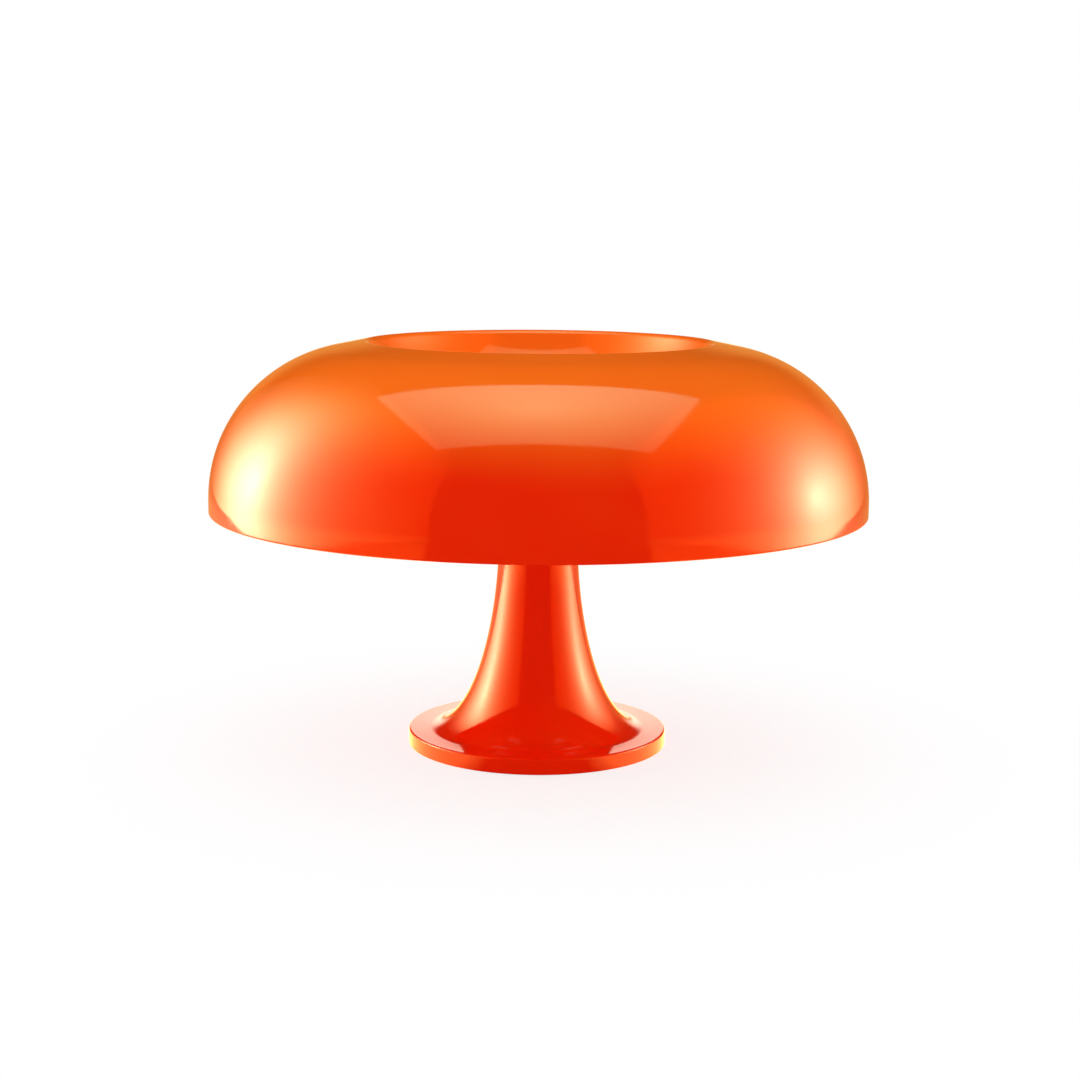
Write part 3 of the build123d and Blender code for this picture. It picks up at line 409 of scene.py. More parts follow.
def turning_tree():
    """Turns an outline in the XZ plane round Z, with an optional screw thread and flutes."""
    tree, given = new_tree(
        "Turned Piece",
        (
            ("Segments", "Int", 128),
            ("Thread Depth", "Float", 0.0),
            ("Thread Pitch", "Float", 1.0),
            ("Thread Start", "Float", 0.0),
            ("Thread End", "Float", 0.0),
            ("Flute Count", "Int", 0),
            ("Flute Depth", "Float", 0.0),
            ("Flute Radius", "Float", 1.0),
            ("Material", "Material", None),
        ),
    )
    size = given.outputs
    count = add(tree, "GeometryNodeAttributeDomainSize", {0: given})
    columns = add(tree, "Math", {0: size["Segments"], 1: 1.0}, operation="ADD")
    grid = add(tree, "GeometryNodeMeshGrid", {"Vertices X": columns, "Vertices Y": count})
    index = add(tree, "GeometryNodeInputIndex")
    share = add(tree, "Math", {0: index, 1: count}, operation="DIVIDE")
    nudged = add(tree, "Math", {0: share, 1: COLUMN_NUDGE}, operation="ADD")
    column = add(tree, "Math", {0: nudged}, operation="FLOOR")
    before = add(tree, "Math", {0: column, 1: count}, operation="MULTIPLY")
    row = add(tree, "Math", {0: index, 1: before}, operation="SUBTRACT")
    spot = add(tree, "GeometryNodeInputPosition")
    inputs = {0: given, "Value": spot, "Index": row}
    sample = add(tree, "GeometryNodeSampleIndex", inputs, data_type="FLOAT_VECTOR")
    section = add(tree, "SeparateXYZ", {0: sample}).outputs
    step = add(tree, "Math", {0: math.tau, 1: size["Segments"]}, operation="DIVIDE")
    angle = add(tree, "Math", {0: column, 1: step}, operation="MULTIPLY")

    # Screw thread: a rounded groove that climbs one pitch in a turn and runs out at both ends
    turns = add(tree, "Math", {0: section["Z"], 1: size["Thread Pitch"]}, operation="DIVIDE")
    climb = add(tree, "Math", {0: turns, 1: math.tau}, operation="MULTIPLY")
    phase = add(tree, "Math", {0: climb, 1: angle}, operation="SUBTRACT")
    ridge = add(tree, "Math", {0: phase}, operation="COSINE")
    groove = add(tree, "Math", {0: ridge, 1: 1.0}, operation="SUBTRACT")
    half = add(tree, "Math", {0: groove, 1: 0.5}, operation="MULTIPLY")
    cut = add(tree, "Math", {0: half, 1: size["Thread Depth"]}, operation="MULTIPLY")
    begun = add(tree, "Math", {0: section["Z"], 1: size["Thread Start"]}, operation="SUBTRACT")
    left = add(tree, "Math", {0: size["Thread End"], 1: section["Z"]}, operation="SUBTRACT")
    nearest = add(tree, "Math", {0: begun, 1: left}, operation="MINIMUM")
    inputs = {0: nearest, 1: size["Thread Pitch"]}
    run_out = add(tree, "Math", inputs, operation="DIVIDE", use_clamp=True)
    thread = add(tree, "Math", {0: cut, 1: run_out}, operation="MULTIPLY")
    wall = add(tree, "Math", {0: section["X"], 1: thread}, operation="ADD")

    # Flutes: hollows cut straight down past the outside radius
    wave = add(tree, "Math", {0: angle, 1: size["Flute Count"]}, operation="MULTIPLY")
    swing = add(tree, "Math", {0: wave}, operation="COSINE")
    wide = add(tree, "Math", {0: swing, 1: FLUTE_WIDENING}, operation="ADD")
    inputs = {0: wide, 1: 1 + FLUTE_WIDENING}
    hollow = add(tree, "Math", inputs, operation="DIVIDE", use_clamp=True)
    depth = add(tree, "Math", {0: hollow, 1: size["Flute Depth"]}, operation="MULTIPLY")
    limit = add(tree, "Math", {0: size["Flute Radius"], 1: depth}, operation="SUBTRACT")
    radius = add(tree, "Math", {0: wall, 1: limit}, operation="MINIMUM")

    across = add(tree, "Math", {0: angle}, operation="COSINE")
    along = add(tree, "Math", {0: angle}, operation="SINE")
    x = add(tree, "Math", {0: radius, 1: across}, operation="MULTIPLY")
    y = add(tree, "Math", {0: radius, 1: along}, operation="MULTIPLY")
    turned_point = add(tree, "CombineXYZ", {0: x, 1: y, 2: section["Z"]})
    shaped = add(tree, "GeometryNodeSetPosition", {0: grid, "Position": turned_point})
    welded = add(tree, "GeometryNodeMergeByDistance", {0: shaped, "Distance": WELD})
    close_tree(tree, welded, size["Material"])


def ring_tree():
    """Repeats a piece round Z, at equal angles from a first one."""
    tree, given = new_tree(
        "Ring Of Pieces",
        (("Count", "Int", 4), ("First Angle", "Float", 0.0), ("Material", "Material", None)),
    )
    size = given.outputs
    points = add(tree, "GeometryNodeMeshLine", {"Count": size["Count"], "Offset": (0, 0, 0)})
    index = add(tree, "GeometryNodeInputIndex")
    step = add(tree, "Math", {0: math.tau, 1: size["Count"]}, operation="DIVIDE")
    share = add(tree, "Math", {0: index, 1: step}, operation="MULTIPLY")
    angle = add(tree, "Math", {0: share, 1: size["First Angle"]}, operation="ADD")
    turn = add(tree, "CombineXYZ", {2: angle})
    rotation = add(tree, "FunctionNodeEulerToRotation", {0: turn})
    inputs = {"Points": points, "Instance": given, "Rotation": rotation}
    copies = add(tree, "GeometryNodeInstanceOnPoints", inputs)
    close_tree(tree, copies, size["Material"])


def shown(name, data):
    """A new object in the scene."""
    thing = bpy.data.objects.new(name, data)
    bpy.context.scene.collection.objects.link(thing)
    return thing


def written(edit, name):
    """A new mesh of what was edited."""
    mesh = bpy.data.meshes.new(name)
    edit.to_mesh(mesh)
    edit.free()
    return mesh


def run_tree(name, mesh, values):
    """Runs a geometry node tree on a mesh and returns the result as a plain mesh."""
    tree = bpy.data.node_groups[name]
    carrier = shown("carrier", mesh)
    modifier = carrier.modifiers.new(name, "NODES")
    modifier.node_group = tree
    for socket in tree.interface.items_tree:
        if socket.in_out == "INPUT" and socket.name in values:
            modifier[socket.identifier] = values[socket.name]
    graph = bpy.context.evaluated_depsgraph_get()
    result = bpy.data.meshes.new_from_object(carrier.evaluated_get(graph))
    carrier.modifiers.clear()
    bpy.data.objects.remove(carrier)
    result.materials.clear()
    result.materials.append(values["Material"])
    return result


def outward(mesh):
    """Points the faces of a closed mesh outwards."""
    edit = bmesh.new()
    edit.from_mesh(mesh)
    bmesh.ops.recalc_face_normals(edit, faces=edit.faces)
    edit.to_mesh(mesh)
    edit.free()
    return mesh


def turned(corners, material, **values):
    """The mesh of an outline of (r, z, rounding) corners turned round Z."""
    points = rounded(corners)
    outline = bpy.data.meshes.new("outline")
    edges = [(i, i + 1) for i in range(len(points) - 1)]
    outline.from_pydata([(r, 0, z) for r, z in points], edges, [])
    given = {name.replace("_", " ").title(): value for name, value in values.items()}
    given["Material"] = material
    return outward(run_tree("Turned Piece", outline, given))


def threaded(size, start, end):
    """The turning inputs of a piece's screw thread between two heights."""
    depth, pitch = size.thread_depth, size.pitch
    return {"thread_depth": depth, "thread_pitch": pitch, "thread_start": start, "thread_end": end}


def fluted(size):
    """The turning inputs of the flutes round a piece."""
    count, depth = size.flute_count, size.flute_depth
    return {"flute_count": count, "flute_depth": depth, "flute_radius": size.radius}


def slab(outline, thickness):
    """A flat piece upright on the X axis, from an (x, z) outline, with slightly rounded edges."""
    edit = bmesh.new()
    sides = [[edit.verts.new((x, side * thickness / 2, z)) for x, z in outline] for side in (-1, 1)]
    edit.faces.new(sides[0])
    edit.faces.new(reversed(sides[1]))
    for i, (low, high) in enumerate(zip(*sides)):
        edit.faces.new((low, sides[0][i - 1], sides[1][i - 1], high))
    bmesh.ops.recalc_face_normals(edit, faces=edit.faces)
    bmesh.ops.bevel(edit, geom=edit.edges[:], offset=mm(0.3), segments=2, affect="EDGES")
    return written(edit, "slab")


def ring_of(mesh, count, first, material):
    """The mesh of a piece repeated round Z, the first at an angle in degrees."""
    values = {"Count": count, "First Angle": math.radians(first), "Material": material}
    return run_tree("Ring Of Pieces", mesh, values)


def joined(*meshes):
    """One mesh of several."""
    edit = bmesh.new()
    for mesh in meshes:
        edit.from_mesh(mesh)
    result = written(edit, "joined")
    result.materials.append(meshes[0].materials[0])
    return result


def drilled(mesh, radius, start, end):
    """The mesh with a round hole through it, from one point to another."""
    axis = Vector(end) - Vector(start)
    turn = axis.to_track_quat("Z", "Y").to_matrix().to_4x4()
    where = Matrix.Translation((Vector(start) + Vector(end)) / 2) @ turn
    edit = bmesh.new()
    size = {"radius1": radius, "radius2": radius, "depth": axis.length}
    bmesh.ops.create_cone(edit, cap_ends=True, segments=48, matrix=where, **size)
    tool = shown("drill", written(edit, "drill"))
    work = shown("work", mesh)
    cut = work.modifiers.new("hole", "BOOLEAN")
    cut.operation = "DIFFERENCE"
    cut.solver = "EXACT"
    cut.object = tool
    graph = bpy.context.evaluated_depsgraph_get()
    result = bpy.data.meshes.new_from_object(work.evaluated_get(graph))
    work.modifiers.clear()
    for thing in (tool, work):
        bpy.data.objects.remove(thing)
    return result


def place(name, mesh, body, slot, *nodes):
    """Makes a finished piece of a mesh: it rides on a body and stands for the named nodes."""
    mesh.name = name
    piece = shown(name, mesh)
    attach(piece, body)
    if nodes:
        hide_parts(*nodes)
    return piece


def dress(material, *nodes):
    """Gives nodes that keep their own shape a finish."""
    for name in nodes:
        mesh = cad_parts[name].data
        mesh.materials.clear()
        mesh.materials.append(material)


def at_each(name):
    """The names of a piece's four nodes, one at each lamp."""
    return [f"{name}_{number}" for number in range(1, len(LAMP_ANGLES) + 1)]


def at_lamps(body, *pieces):
    """Places (name, slot, mesh) pieces that were made round Z along the axes of the four lamps."""
    rise = Matrix.Translation((0, 0, bpy.context.scene.lamp_holder.axis_height))
    lay = Matrix.Rotation(math.pi / 2, 4, "Y")
    for number, angle in enumerate(LAMP_ANGLES, 1):
        along = rise @ Matrix.Rotation(math.radians(angle), 4, "Z") @ lay
        for name, slot, mesh in pieces:
            piece = mesh.copy()
            piece.transform(along)
            place(f"{name}_piece_{number}", piece, body.format(number), slot, f"{name}_{number}")


def blank(kind, name):
    """A new material or world with an empty node tree, and that tree."""
    block = kind.new(name)
    block.use_nodes = True
    block.node_tree.nodes.clear()
    return block, block.node_tree


def finish(name):
    """The colour of a finish."""
    return tuple(getattr(bpy.context.scene.lamp_finish, name))


def surface(name, **sockets):
    """A new Principled material: returns it, its tree, its shader and the place on the object."""
    material, tree = blank(bpy.data.materials, name)
    inputs = {key.replace("_", " "): value for key, value in sockets.items()}
    shader = add(tree, "BsdfPrincipled", inputs)
    add(tree, "OutputMaterial", {"Surface": shader})
    return material, tree, shader, add(tree, "TexCoord").outputs["Object"]


def patterned(shader, pattern, gloss=None, contrast=0.2, tint=None, factor=1.0, relief=None, **how):
    """Lets a pattern vary a finish.

    gloss is its lowest and highest roughness, reached where the pattern is a contrast below and
    above one half. tint is its colour, which goes to the tint times a factor. relief is the
    strength and depth of its bumps, and how their other settings.
    """
    tree = shader.id_data
    if tint:
        other = (*(c * factor for c in tint[:3]), 1.0)
        mixed = add(tree, "Mix", {0: pattern, 6: tint, 7: other}, data_type="RGBA")
        tree.links.new(mixed.outputs[2], shader.inputs["Base Color"])
    if gloss:
        inputs = {"Value": pattern, "From Min": 0.5 - contrast, "From Max": 0.5 + contrast}
        inputs |= {"To Min": gloss[0], "To Max": gloss[1]}
        tree.links.new(add(tree, "MapRange", inputs).outputs[0], shader.inputs["Roughness"])
    if relief:
        inputs = {"Height": pattern, "Strength": relief[0], "Distance": relief[1]}
        tree.links.new(add(tree, "Bump", inputs, **how).outputs[0], shader.inputs["Normal"])


def dyed_abs(name):
    """Injection-moulded ABS, dyed through and hard-polished in the mould.

    The gloss is high with the faintest orange peel. The colour is painted darker red low down and
    lighter orange at the lip, painted shade and light from how light falls, and drifts a little
    over a hand's width.
    """
    material, tree, shader, spot = surface(name, IOR=1.53, Specular_Tint=finish("gleam"))
    height = add(tree, "SeparateXYZ", {0: spot}).outputs["Z"]
    low, high = RIM_Z + mm(46), CREST_Z - mm(15)  # where the painted light starts and ends turning the colour from shaded red to lit orange
    inputs = {"Value": height, "From Min": low, "From Max": high}
    rise = add(tree, "MapRange", inputs, interpolation_type="SMOOTHSTEP")
    clouds = add(tree, "TexNoise", {"Vector": spot, "Scale": 1 / mm(90), "Detail": 2.0})
    inputs = {"Value": clouds, "From Min": 0.3, "From Max": 0.7, "To Min": -0.05, "To Max": 0.05}
    drift = add(tree, "MapRange", inputs)
    painted_light_and_drift = add(tree, "Math", {0: rise, 1: drift}, operation="ADD", use_clamp=True)
    # Painted shade and light: darker red low down, lighter orange towards the lip, with a little
    # random drift
    inputs = {0: painted_light_and_drift, 6: finish("plastic_low"), 7: finish("plastic_high")}
    dye_with_painted_light = add(tree, "Mix", inputs, data_type="RGBA")
    tree.links.new(dye_with_painted_light.outputs[2], shader.inputs["Base Color"])
    haze = add(tree, "TexNoise", {"Vector": spot, "Scale": 1 / mm(25), "Detail": 4.0})
    patterned(shader, haze, gloss=(0.05, 0.10))
    peel = add(tree, "TexNoise", {"Vector": spot, "Scale": 1 / mm(9), "Detail": 1.0})
    patterned(shader, peel, relief=(0.15, mm(0.004)))
    return material


def zinc_plated():
    """Bright zinc plating on pressed and turned steel: a cool metal with cloudy, uneven gloss."""
    metal = {"Metallic": 1.0, "Base_Color": finish("zinc")}
    material, tree, shader, spot = surface("zinc-plated steel", **metal)
    spangle = add(tree, "TexNoise", {"Vector": spot, "Scale": 1 / mm(4), "Detail": 5.0})
    patterned(shader, spangle, gloss=(0.22, 0.42))
    grain = add(tree, "TexNoise", {"Vector": spot, "Scale": 1 / mm(0.6), "Detail": 2.0})
    patterned(shader, grain, relief=(0.2, mm(0.03)))
    return material


def bare_brass(name="turned brass"):
    """Turned or stamped brass: warm metal, brighter where it was cut, dulled in patches."""
    material, tree, shader, spot = surface(name, Metallic=1.0)
    patches = add(tree, "TexNoise", {"Vector": spot, "Scale": 1 / mm(5), "Detail": 4.0})
    patterned(shader, patches, gloss=(0.2, 0.38), tint=finish("brass"), factor=0.72)
    return material


def rolled_aluminium():
    """Rolled aluminium sheet of the bulb caps: soft bright metal with fine scuffs."""
    metal = {"Metallic": 1.0, "Base_Color": finish("cap")}
    material, tree, shader, spot = surface("rolled aluminium", **metal)
    scuffs = add(tree, "TexNoise", {"Vector": spot, "Scale": 1 / mm(1.5), "Detail": 6.0})
    patterned(shader, scuffs, gloss=(0.18, 0.34), contrast=0.15)
    return material


def opal_glass():
    """Blown glass with a milky coat inside: a glassy skin over an even, slightly warm white."""
    milky = {"Subsurface_Weight": 0.35, "Subsurface_Scale": mm(4)}
    milky["Subsurface_Radius"] = (1.0, 0.95, 0.85)
    material, tree, shader, spot = surface("blown opal glass", IOR=1.5, **milky)
    milk = add(tree, "TexNoise", {"Vector": spot, "Scale": 1 / mm(30), "Detail": 2.0})
    patterned(shader, milk, gloss=(0.06, 0.12), tint=finish("opal"), factor=0.93)
    return material


def pressed_thermoset():
    """Hot-pressed phenolic resin: brown-black, semi-gloss, with a mottle of filler in the gloss."""
    material, tree, shader, spot = surface("pressed thermoset", IOR=1.6, Specular_IOR_Level=0.3)
    mottle = add(tree, "TexNoise", {"Vector": spot, "Scale": 1 / mm(2.5), "Detail": 6.0})
    patterned(shader, mottle, gloss=(0.24, 0.4), tint=finish("thermoset"), factor=1.5)
    return material


def pressed_felt():
    """Pressed wool felt: matt, with its fibres in tufts.

    Real fibres are too fine to show, so the tufts are drawn about a millimetre across.
    """
    soft = {"Roughness": 0.95, "Sheen_Weight": 0.4, "Sheen_Roughness": 0.5}
    material, tree, shader, spot = surface("pressed felt", **soft)
    inputs = {"Vector": spot, "Scale": 1 / mm(1.2), "Detail": 8.0, "Roughness": 0.75}
    fibres = add(tree, "TexNoise", inputs)
    patterned(shader, fibres, tint=finish("felt"), factor=2.2, relief=(0.8, mm(0.4)))
    return material


def painted_iron():
    """Turned cast iron under thin black paint: the lathe's rings show through, 1.5 mm apart."""
    material, tree, shader, spot = surface("painted cast iron", Base_Color=finish("paint"))
    inputs = {"Vector": spot, "Scale": 1 / mm(1.5) / math.tau, "Distortion": 0.4}
    rings = add(tree, "TexWave", inputs, wave_type="RINGS", rings_direction="Z")
    patterned(shader, rings, gloss=(0.35, 0.5), contrast=0.5, relief=(0.4, mm(0.05)))
    return material


def small_moulding(name, tint, gloss, size):
    """A small moulded piece: an even colour with a fine spark-eroded grain in its gloss.

    The real grain is too fine to show, so it is drawn coarser, at the size given.
    """
    material, tree, shader, spot = surface(name, IOR=1.5)
    grain = add(tree, "TexNoise", {"Vector": spot, "Scale": 1 / size, "Detail": 3.0})
    patterned(shader, grain, gloss=gloss, tint=finish(tint), factor=0.88, relief=(0.3, size / 20))
    return material


def braided_sleeve():
    """Braided glass-fibre sleeve: a chequer of strands 0.8 mm wide, matt and slightly yellowed."""
    material, tree, shader, spot = surface("braided glass fibre", Roughness=0.8, Sheen_Weight=0.2)
    turn = add(tree, "Mapping", {"Vector": spot, "Rotation": (0.6, 0.5, math.pi / 4)})
    braid = add(tree, "TexVoronoi", {"Vector": turn, "Scale": 1 / mm(0.8), "Randomness": 0.15})
    relief = (0.7, mm(0.2))
    patterned(shader, braid, tint=finish("sleeve"), factor=0.55, relief=relief, invert=True)
    return material


def solder():
    """A tinned contact: soft grey metal, domed where the solder set."""
    material, tree, shader, spot = surface("set solder", Metallic=1.0, Base_Color=finish("solder"))
    ripples = add(tree, "TexNoise", {"Vector": spot, "Scale": 1 / mm(1.2), "Detail": 3.0})
    patterned(shader, ripples, gloss=(0.3, 0.5), relief=(0.6, mm(0.2)))
    return material


def in_reflections(tree):
    """One for the rays that draw a reflection or a refraction, and zero for all others."""
    ray = add(tree, "LightPath").outputs
    inputs = {0: ray["Is Glossy Ray"], 1: ray["Is Transmission Ray"]}
    return add(tree, "Math", inputs, operation="MAXIMUM")


def soft_spots(tree, spots):
    """A sum of soft spots of light: each a colour, strength, centre, spread and steepness."""
    spot = add(tree, "TexCoord").outputs["Object"]
    total = None
    for code, strength, centre, spread, steepness in spots:
        away = add(tree, "VectorMath", {0: spot, 1: centre}, operation="SUBTRACT")
        scaled = add(tree, "VectorMath", {0: away, 1: spread}, operation="DIVIDE")
        far = add(tree, "VectorMath", {0: scaled}, operation="LENGTH").outputs["Value"]
        steep = add(tree, "Math", {0: far, 1: steepness}, operation="POWER")
        minus = add(tree, "Math", {0: steep, 1: -1.0}, operation="MULTIPLY")
        share = add(tree, "Math", {0: minus}, operation="EXPONENT")
        power = add(tree, "Math", {0: share, 1: strength}, operation="MULTIPLY")
        light = add(tree, "Emission", {"Color": tuple(code), "Strength": power})
        total = add(tree, "AddShader", {0: total, 1: light}) if total else light
    return total


def core(level, centre, spread, halo, heart=WHITE):
    """The soft spots of a lamp behind a diffuser: a heart of light with a wider halo round it."""
    inner = tuple(reach * HEART_SHARE for reach in spread)
    return [(halo, level, centre, spread, POINTED), (heart, level, centre, inner, POINTED)]


def diffuser(name, spots):
    """The clear sheet of a light panel: it glows in soft spots and dimly lights matt surfaces."""
    look = bpy.context.scene.lamp_studio
    material, tree = blank(bpy.data.materials, name)
    dim = [(WHITE, level * look.lighting, *where) for _, level, *where in spots[:2]]
    matt = soft_spots(tree, dim)
    seen = soft_spots(tree, spots)
    light = add(tree, "MixShader", {0: in_reflections(tree), 1: matt, 2: seen})
    clear = add(tree, "BsdfTransparent")
    both = add(tree, "AddShader", {0: light, 1: clear})
    add(tree, "OutputMaterial", {"Surface": both})
    return material


def panel(name, corners, material):
    """A flat panel of the studio, unseen by the camera."""
    mesh = bpy.data.meshes.new(name)
    mesh.from_pydata(corners, [], [(0, 1, 2, 3)])
    mesh.materials.append(material)
    thing = shown(name, mesh)
    thing.visible_camera = False
    thing.visible_shadow = False


class LAMP_OT_shade(bpy.types.Operator):
    """Turns the shade: rim, shoulder, lip and bowl in one moulding, with the ribs under it"""

    bl_idname = "lamp.shade"
    bl_label = "Shade"

    def execute(self, context):
        size = context.scene.lamp_shade
        plastic = dyed_abs("polished ABS, shade")
        slope = math.degrees(size.slope)
        crest = SHADE_RADIUS - size.lip_inset
        floor = CREST_Z - size.bowl_depth
        run = crest - size.bowl_floor
        turn = math.degrees(2 * math.atan(size.bowl_depth / run))
        bowl_arc = run / math.sin(math.radians(turn)) - size.lip_round
        dome = (SHADE_RADIUS - size.dome_arc, RIM_Z + size.band)
        lip = (crest, CREST_Z - size.lip_round)
        bowl = (size.bowl_floor, floor + bowl_arc)
        under = floor - size.wall
        inner_dome = size.dome_arc - size.wall
        inner_lip = size.lip_round - size.wall
        outer_bowl = bowl_arc + size.wall
        ring = size.spigot + size.wall
        low = under - size.spigot_height
        corners = (
            [(SHADE_RADIUS - size.wall, RIM_Z, size.rim_round)]
            + [(SHADE_RADIUS, RIM_Z, size.rim_round)]
            + arc(dome, (size.dome_arc, size.dome_arc), 0, 90 - slope, 48)
            + arc(lip, (size.lip_round, size.lip_round), 90 - slope, 90 + turn, 16)
            + arc(bowl, (bowl_arc, bowl_arc), turn - 90, -90, 40)[1:]
            + [(size.hole, floor, mm(0.5)), (size.hole, under, 0)]
            + [(size.spigot, under, 0), (size.spigot, low, mm(0.4))]
            + [(ring, low, mm(0.4)), (ring, under, 0)]
            + arc(bowl, (outer_bowl, outer_bowl), -90, turn - 90, 40)
            + arc(lip, (inner_lip, inner_lip), 90 + turn, 90 - slope, 10)[1:]
            + arc(dome, (inner_dome, inner_dome), 90 - slope, 0, 48)
        )
        shell = turned(corners, plastic, segments=288)

        start = size.spigot + size.wall / 2
        high = under + size.wall / 2
        outline = ((start, low), (start + size.rib_reach, high), (start, high))
        ribs = ring_of(slab(outline, size.rib_thickness), size.rib_count, 0, plastic)
        place("shade_moulding", joined(shell, ribs), "shade", "shade_plastic", *SHADE_NODES)
        return {"FINISHED"}


class LAMP_OT_foot(bpy.types.Operator):
    """Turns the foot and column: one hollow moulding, with its holes"""

    bl_idname = "lamp.foot"
    bl_label = "Foot and Column"

    def execute(self, context):
        size = context.scene.lamp_foot
        plastic = dyed_abs("polished ABS, foot")
        flare = (size.column + size.flare_run, size.flare_top)
        roof = size.thickness - size.wall
        inner = size.radius - size.wall
        outside = (size.flare_run, size.flare_top - size.thickness)
        inside = (size.flare_run + size.wall, size.flare_top - roof)
        neck = size.column_top - size.wall
        corners = (
            [(inner, size.lift, mm(0.4)), (size.radius, size.lift, mm(0.6))]
            + [(size.radius, size.thickness, size.edge)]
            + arc(flare, outside, -90, -180, 64)
            + [(size.column, size.column_top, size.column_round)]
            + [(size.tube_hole, size.column_top, 0), (size.tube_hole, neck, 0)]
            + [(size.column - size.wall, neck, mm(1))]
            + arc(flare, inside, -180, -90, 48)
            + [(inner, roof, mm(0.5))]
        )
        mesh = turned(corners, plastic, segments=240)
        hole = size.flex_hole_place
        above = (0, -hole, size.column_top + mm(2))
        mesh = drilled(mesh, size.flex_hole, (0, -hole, neck - mm(2)), above)
        out = (0, size.radius + mm(3), size.outlet_height)
        mesh = drilled(mesh, size.outlet_hole, (0, inner - mm(3), size.outlet_height), out)

        # The screw bosses end inside the flare's wall, which slopes over them
        bore_end = PLATE_TOP + size.boss_bore_depth
        boss = (
            [(size.boss_bore, PLATE_TOP, 0), (size.boss, PLATE_TOP, mm(0.3))]
            + [(size.boss, size.flare_top, 0), (0, size.flare_top, 0)]
            + [(0, bore_end, 0), (size.boss_bore, bore_end, 0)]
        )
        boss_mesh = turned(boss, plastic, segments=32)
        boss_mesh.transform(Matrix.Translation((size.boss_place, 0, 0)))
        for point in boss_mesh.vertices:
            if point.co.z > size.flare_top - mm(1):
                aside = (flare[0] - math.hypot(point.co.x, point.co.y)) / inside[0]
                point.co.z = size.flare_top - inside[1] * math.sqrt(1 - aside**2) + size.wall / 2
        bosses = ring_of(boss_mesh, size.boss_count, BOSS_ANGLE, plastic)

        start, end = inner - size.gusset_reach - size.wall / 2, inner + size.wall / 2
        outline = ((start, PLATE_TOP), (end, PLATE_TOP), (end, roof + mm(1)), (start, roof + mm(1)))
        gusset = slab(outline, size.gusset_thickness)
        gussets = ring_of(gusset, size.gusset_count, GUSSET_ANGLE, plastic)
        tip = size.column_top + size.peg_height
        outline = [(0, neck, 0), (size.peg, neck, 0), (size.peg, tip, mm(0.3)), (0, tip, 0)]
        peg = turned(outline, plastic, segments=24)
        peg.transform(Matrix.Translation((size.peg_place, 0, 0)))
        pegs = ring_of(peg, PEG_COUNT, 0, plastic)
        whole = joined(mesh, bosses, gussets, pegs)
        place("foot_moulding", whole, "stand", "foot_plastic", "foot_column")
        return {"FINISHED"}


class LAMP_OT_knob(bpy.types.Operator):
    """Turns the knob that holds the shade down, with flutes round its edge"""

    bl_idname = "lamp.knob"
    bl_label = "Knob"

    def execute(self, context):
        size = context.scene.lamp_knob
        plastic = dyed_abs("polished ABS, knob")
        floor = KNOB_TOP - size.crown - size.edge_height
        crown = (size.radius**2 + size.crown**2) / (2 * size.crown)
        vault = crown - size.wall
        centre = (0, KNOB_TOP - crown)
        inner = size.radius - size.wall
        outer_end = math.degrees(math.acos((size.radius - mm(2.5)) / crown))
        vault_end = math.degrees(math.acos(inner / vault))
        boss_end = math.degrees(math.acos(size.boss / vault))
        lift = floor + size.boss_lift
        pocket = lift + size.insert_height
        room = floor + size.tube_room_height
        corners = (
            [(size.boss, lift, mm(0.3))]
            + arc(centre, (vault, vault), boss_end, vault_end, 10)
            + [(inner, floor, mm(0.3)), (size.radius, floor, mm(0.3))]
            + [(size.radius, floor + size.edge_height, size.edge_round)]
            + arc(centre, (crown, crown), outer_end, 90, 20)
            + [(0, room, 0), (size.tube_room, room, 0), (size.tube_room, pocket, 0)]
            + [(size.insert, pocket, 0), (size.insert, lift, 0)]
        )
        mesh = turned(corners, plastic, segments=size.flute_count * 16, **fluted(size))
        start, end = size.boss - size.wall / 2, inner + size.wall / 2
        low = floor + size.rib_lift
        top = [start + (end - start) * step / 6 for step in range(6, -1, -1)]
        vaulted = [(r, centre[1] + math.sqrt(vault**2 - r**2) + mm(1)) for r in top]
        outline = [(start, low), (end, low), *vaulted]
        ribs = ring_of(slab(outline, size.rib_thickness), size.rib_count, 0, plastic)
        place("knob_moulding", joined(mesh, ribs), "knob", "knob_plastic", "knob")
        dress(bare_brass("turned brass, insert"), "knob_insert")
        return {"FINISHED"}


class LAMP_OT_fittings(bpy.types.Operator):
    """Cuts the threads of the centre tube and plates the steel that carries shade and lamps"""

    bl_idname = "lamp.fittings"
    bl_label = "Tube and Fittings"

    def execute(self, context):
        size = context.scene.lamp_tube
        zinc = zinc_plated()
        wall = size.radius - size.chamfer
        meet = size.low_thread + mm(2)
        low = (
            [(size.bore, meet, 0), (size.bore, TUBE_LOW, 0), (wall, TUBE_LOW, 0)]
            + rows(size.radius, TUBE_LOW + size.chamfer, size.low_thread, size.pitch)
            + [(size.radius, meet, 0)]
        )
        high = (
            [(size.bore, meet, 0), (size.radius, meet, 0)]
            + rows(size.radius, size.high_thread, TUBE_HIGH - size.chamfer, size.pitch)
            + [(wall, TUBE_HIGH, 0), (size.bore, TUBE_HIGH, 0)]
        )
        thread = threaded(size, TUBE_LOW - size.pitch, size.low_thread)
        lower = turned(low, zinc, segments=48, **thread)
        thread = threaded(size, size.high_thread, TUBE_HIGH + size.pitch)
        upper = turned(high, zinc, segments=48, **thread)
        place("threaded_tube", joined(upper, lower), "stand", "zinc_steel", "centre_tube")
        dress(zinc, "lamp_bracket", "bracket_nut", "spacer_tube", "support_disc", "holder_nuts")
        dress(bare_brass("turned brass, collar"), "collar_nut")
        dress(small_moulding("moulded rubber", "rubber", (0.6, 0.8), mm(1.2)), "gasket")
        return {"FINISHED"}


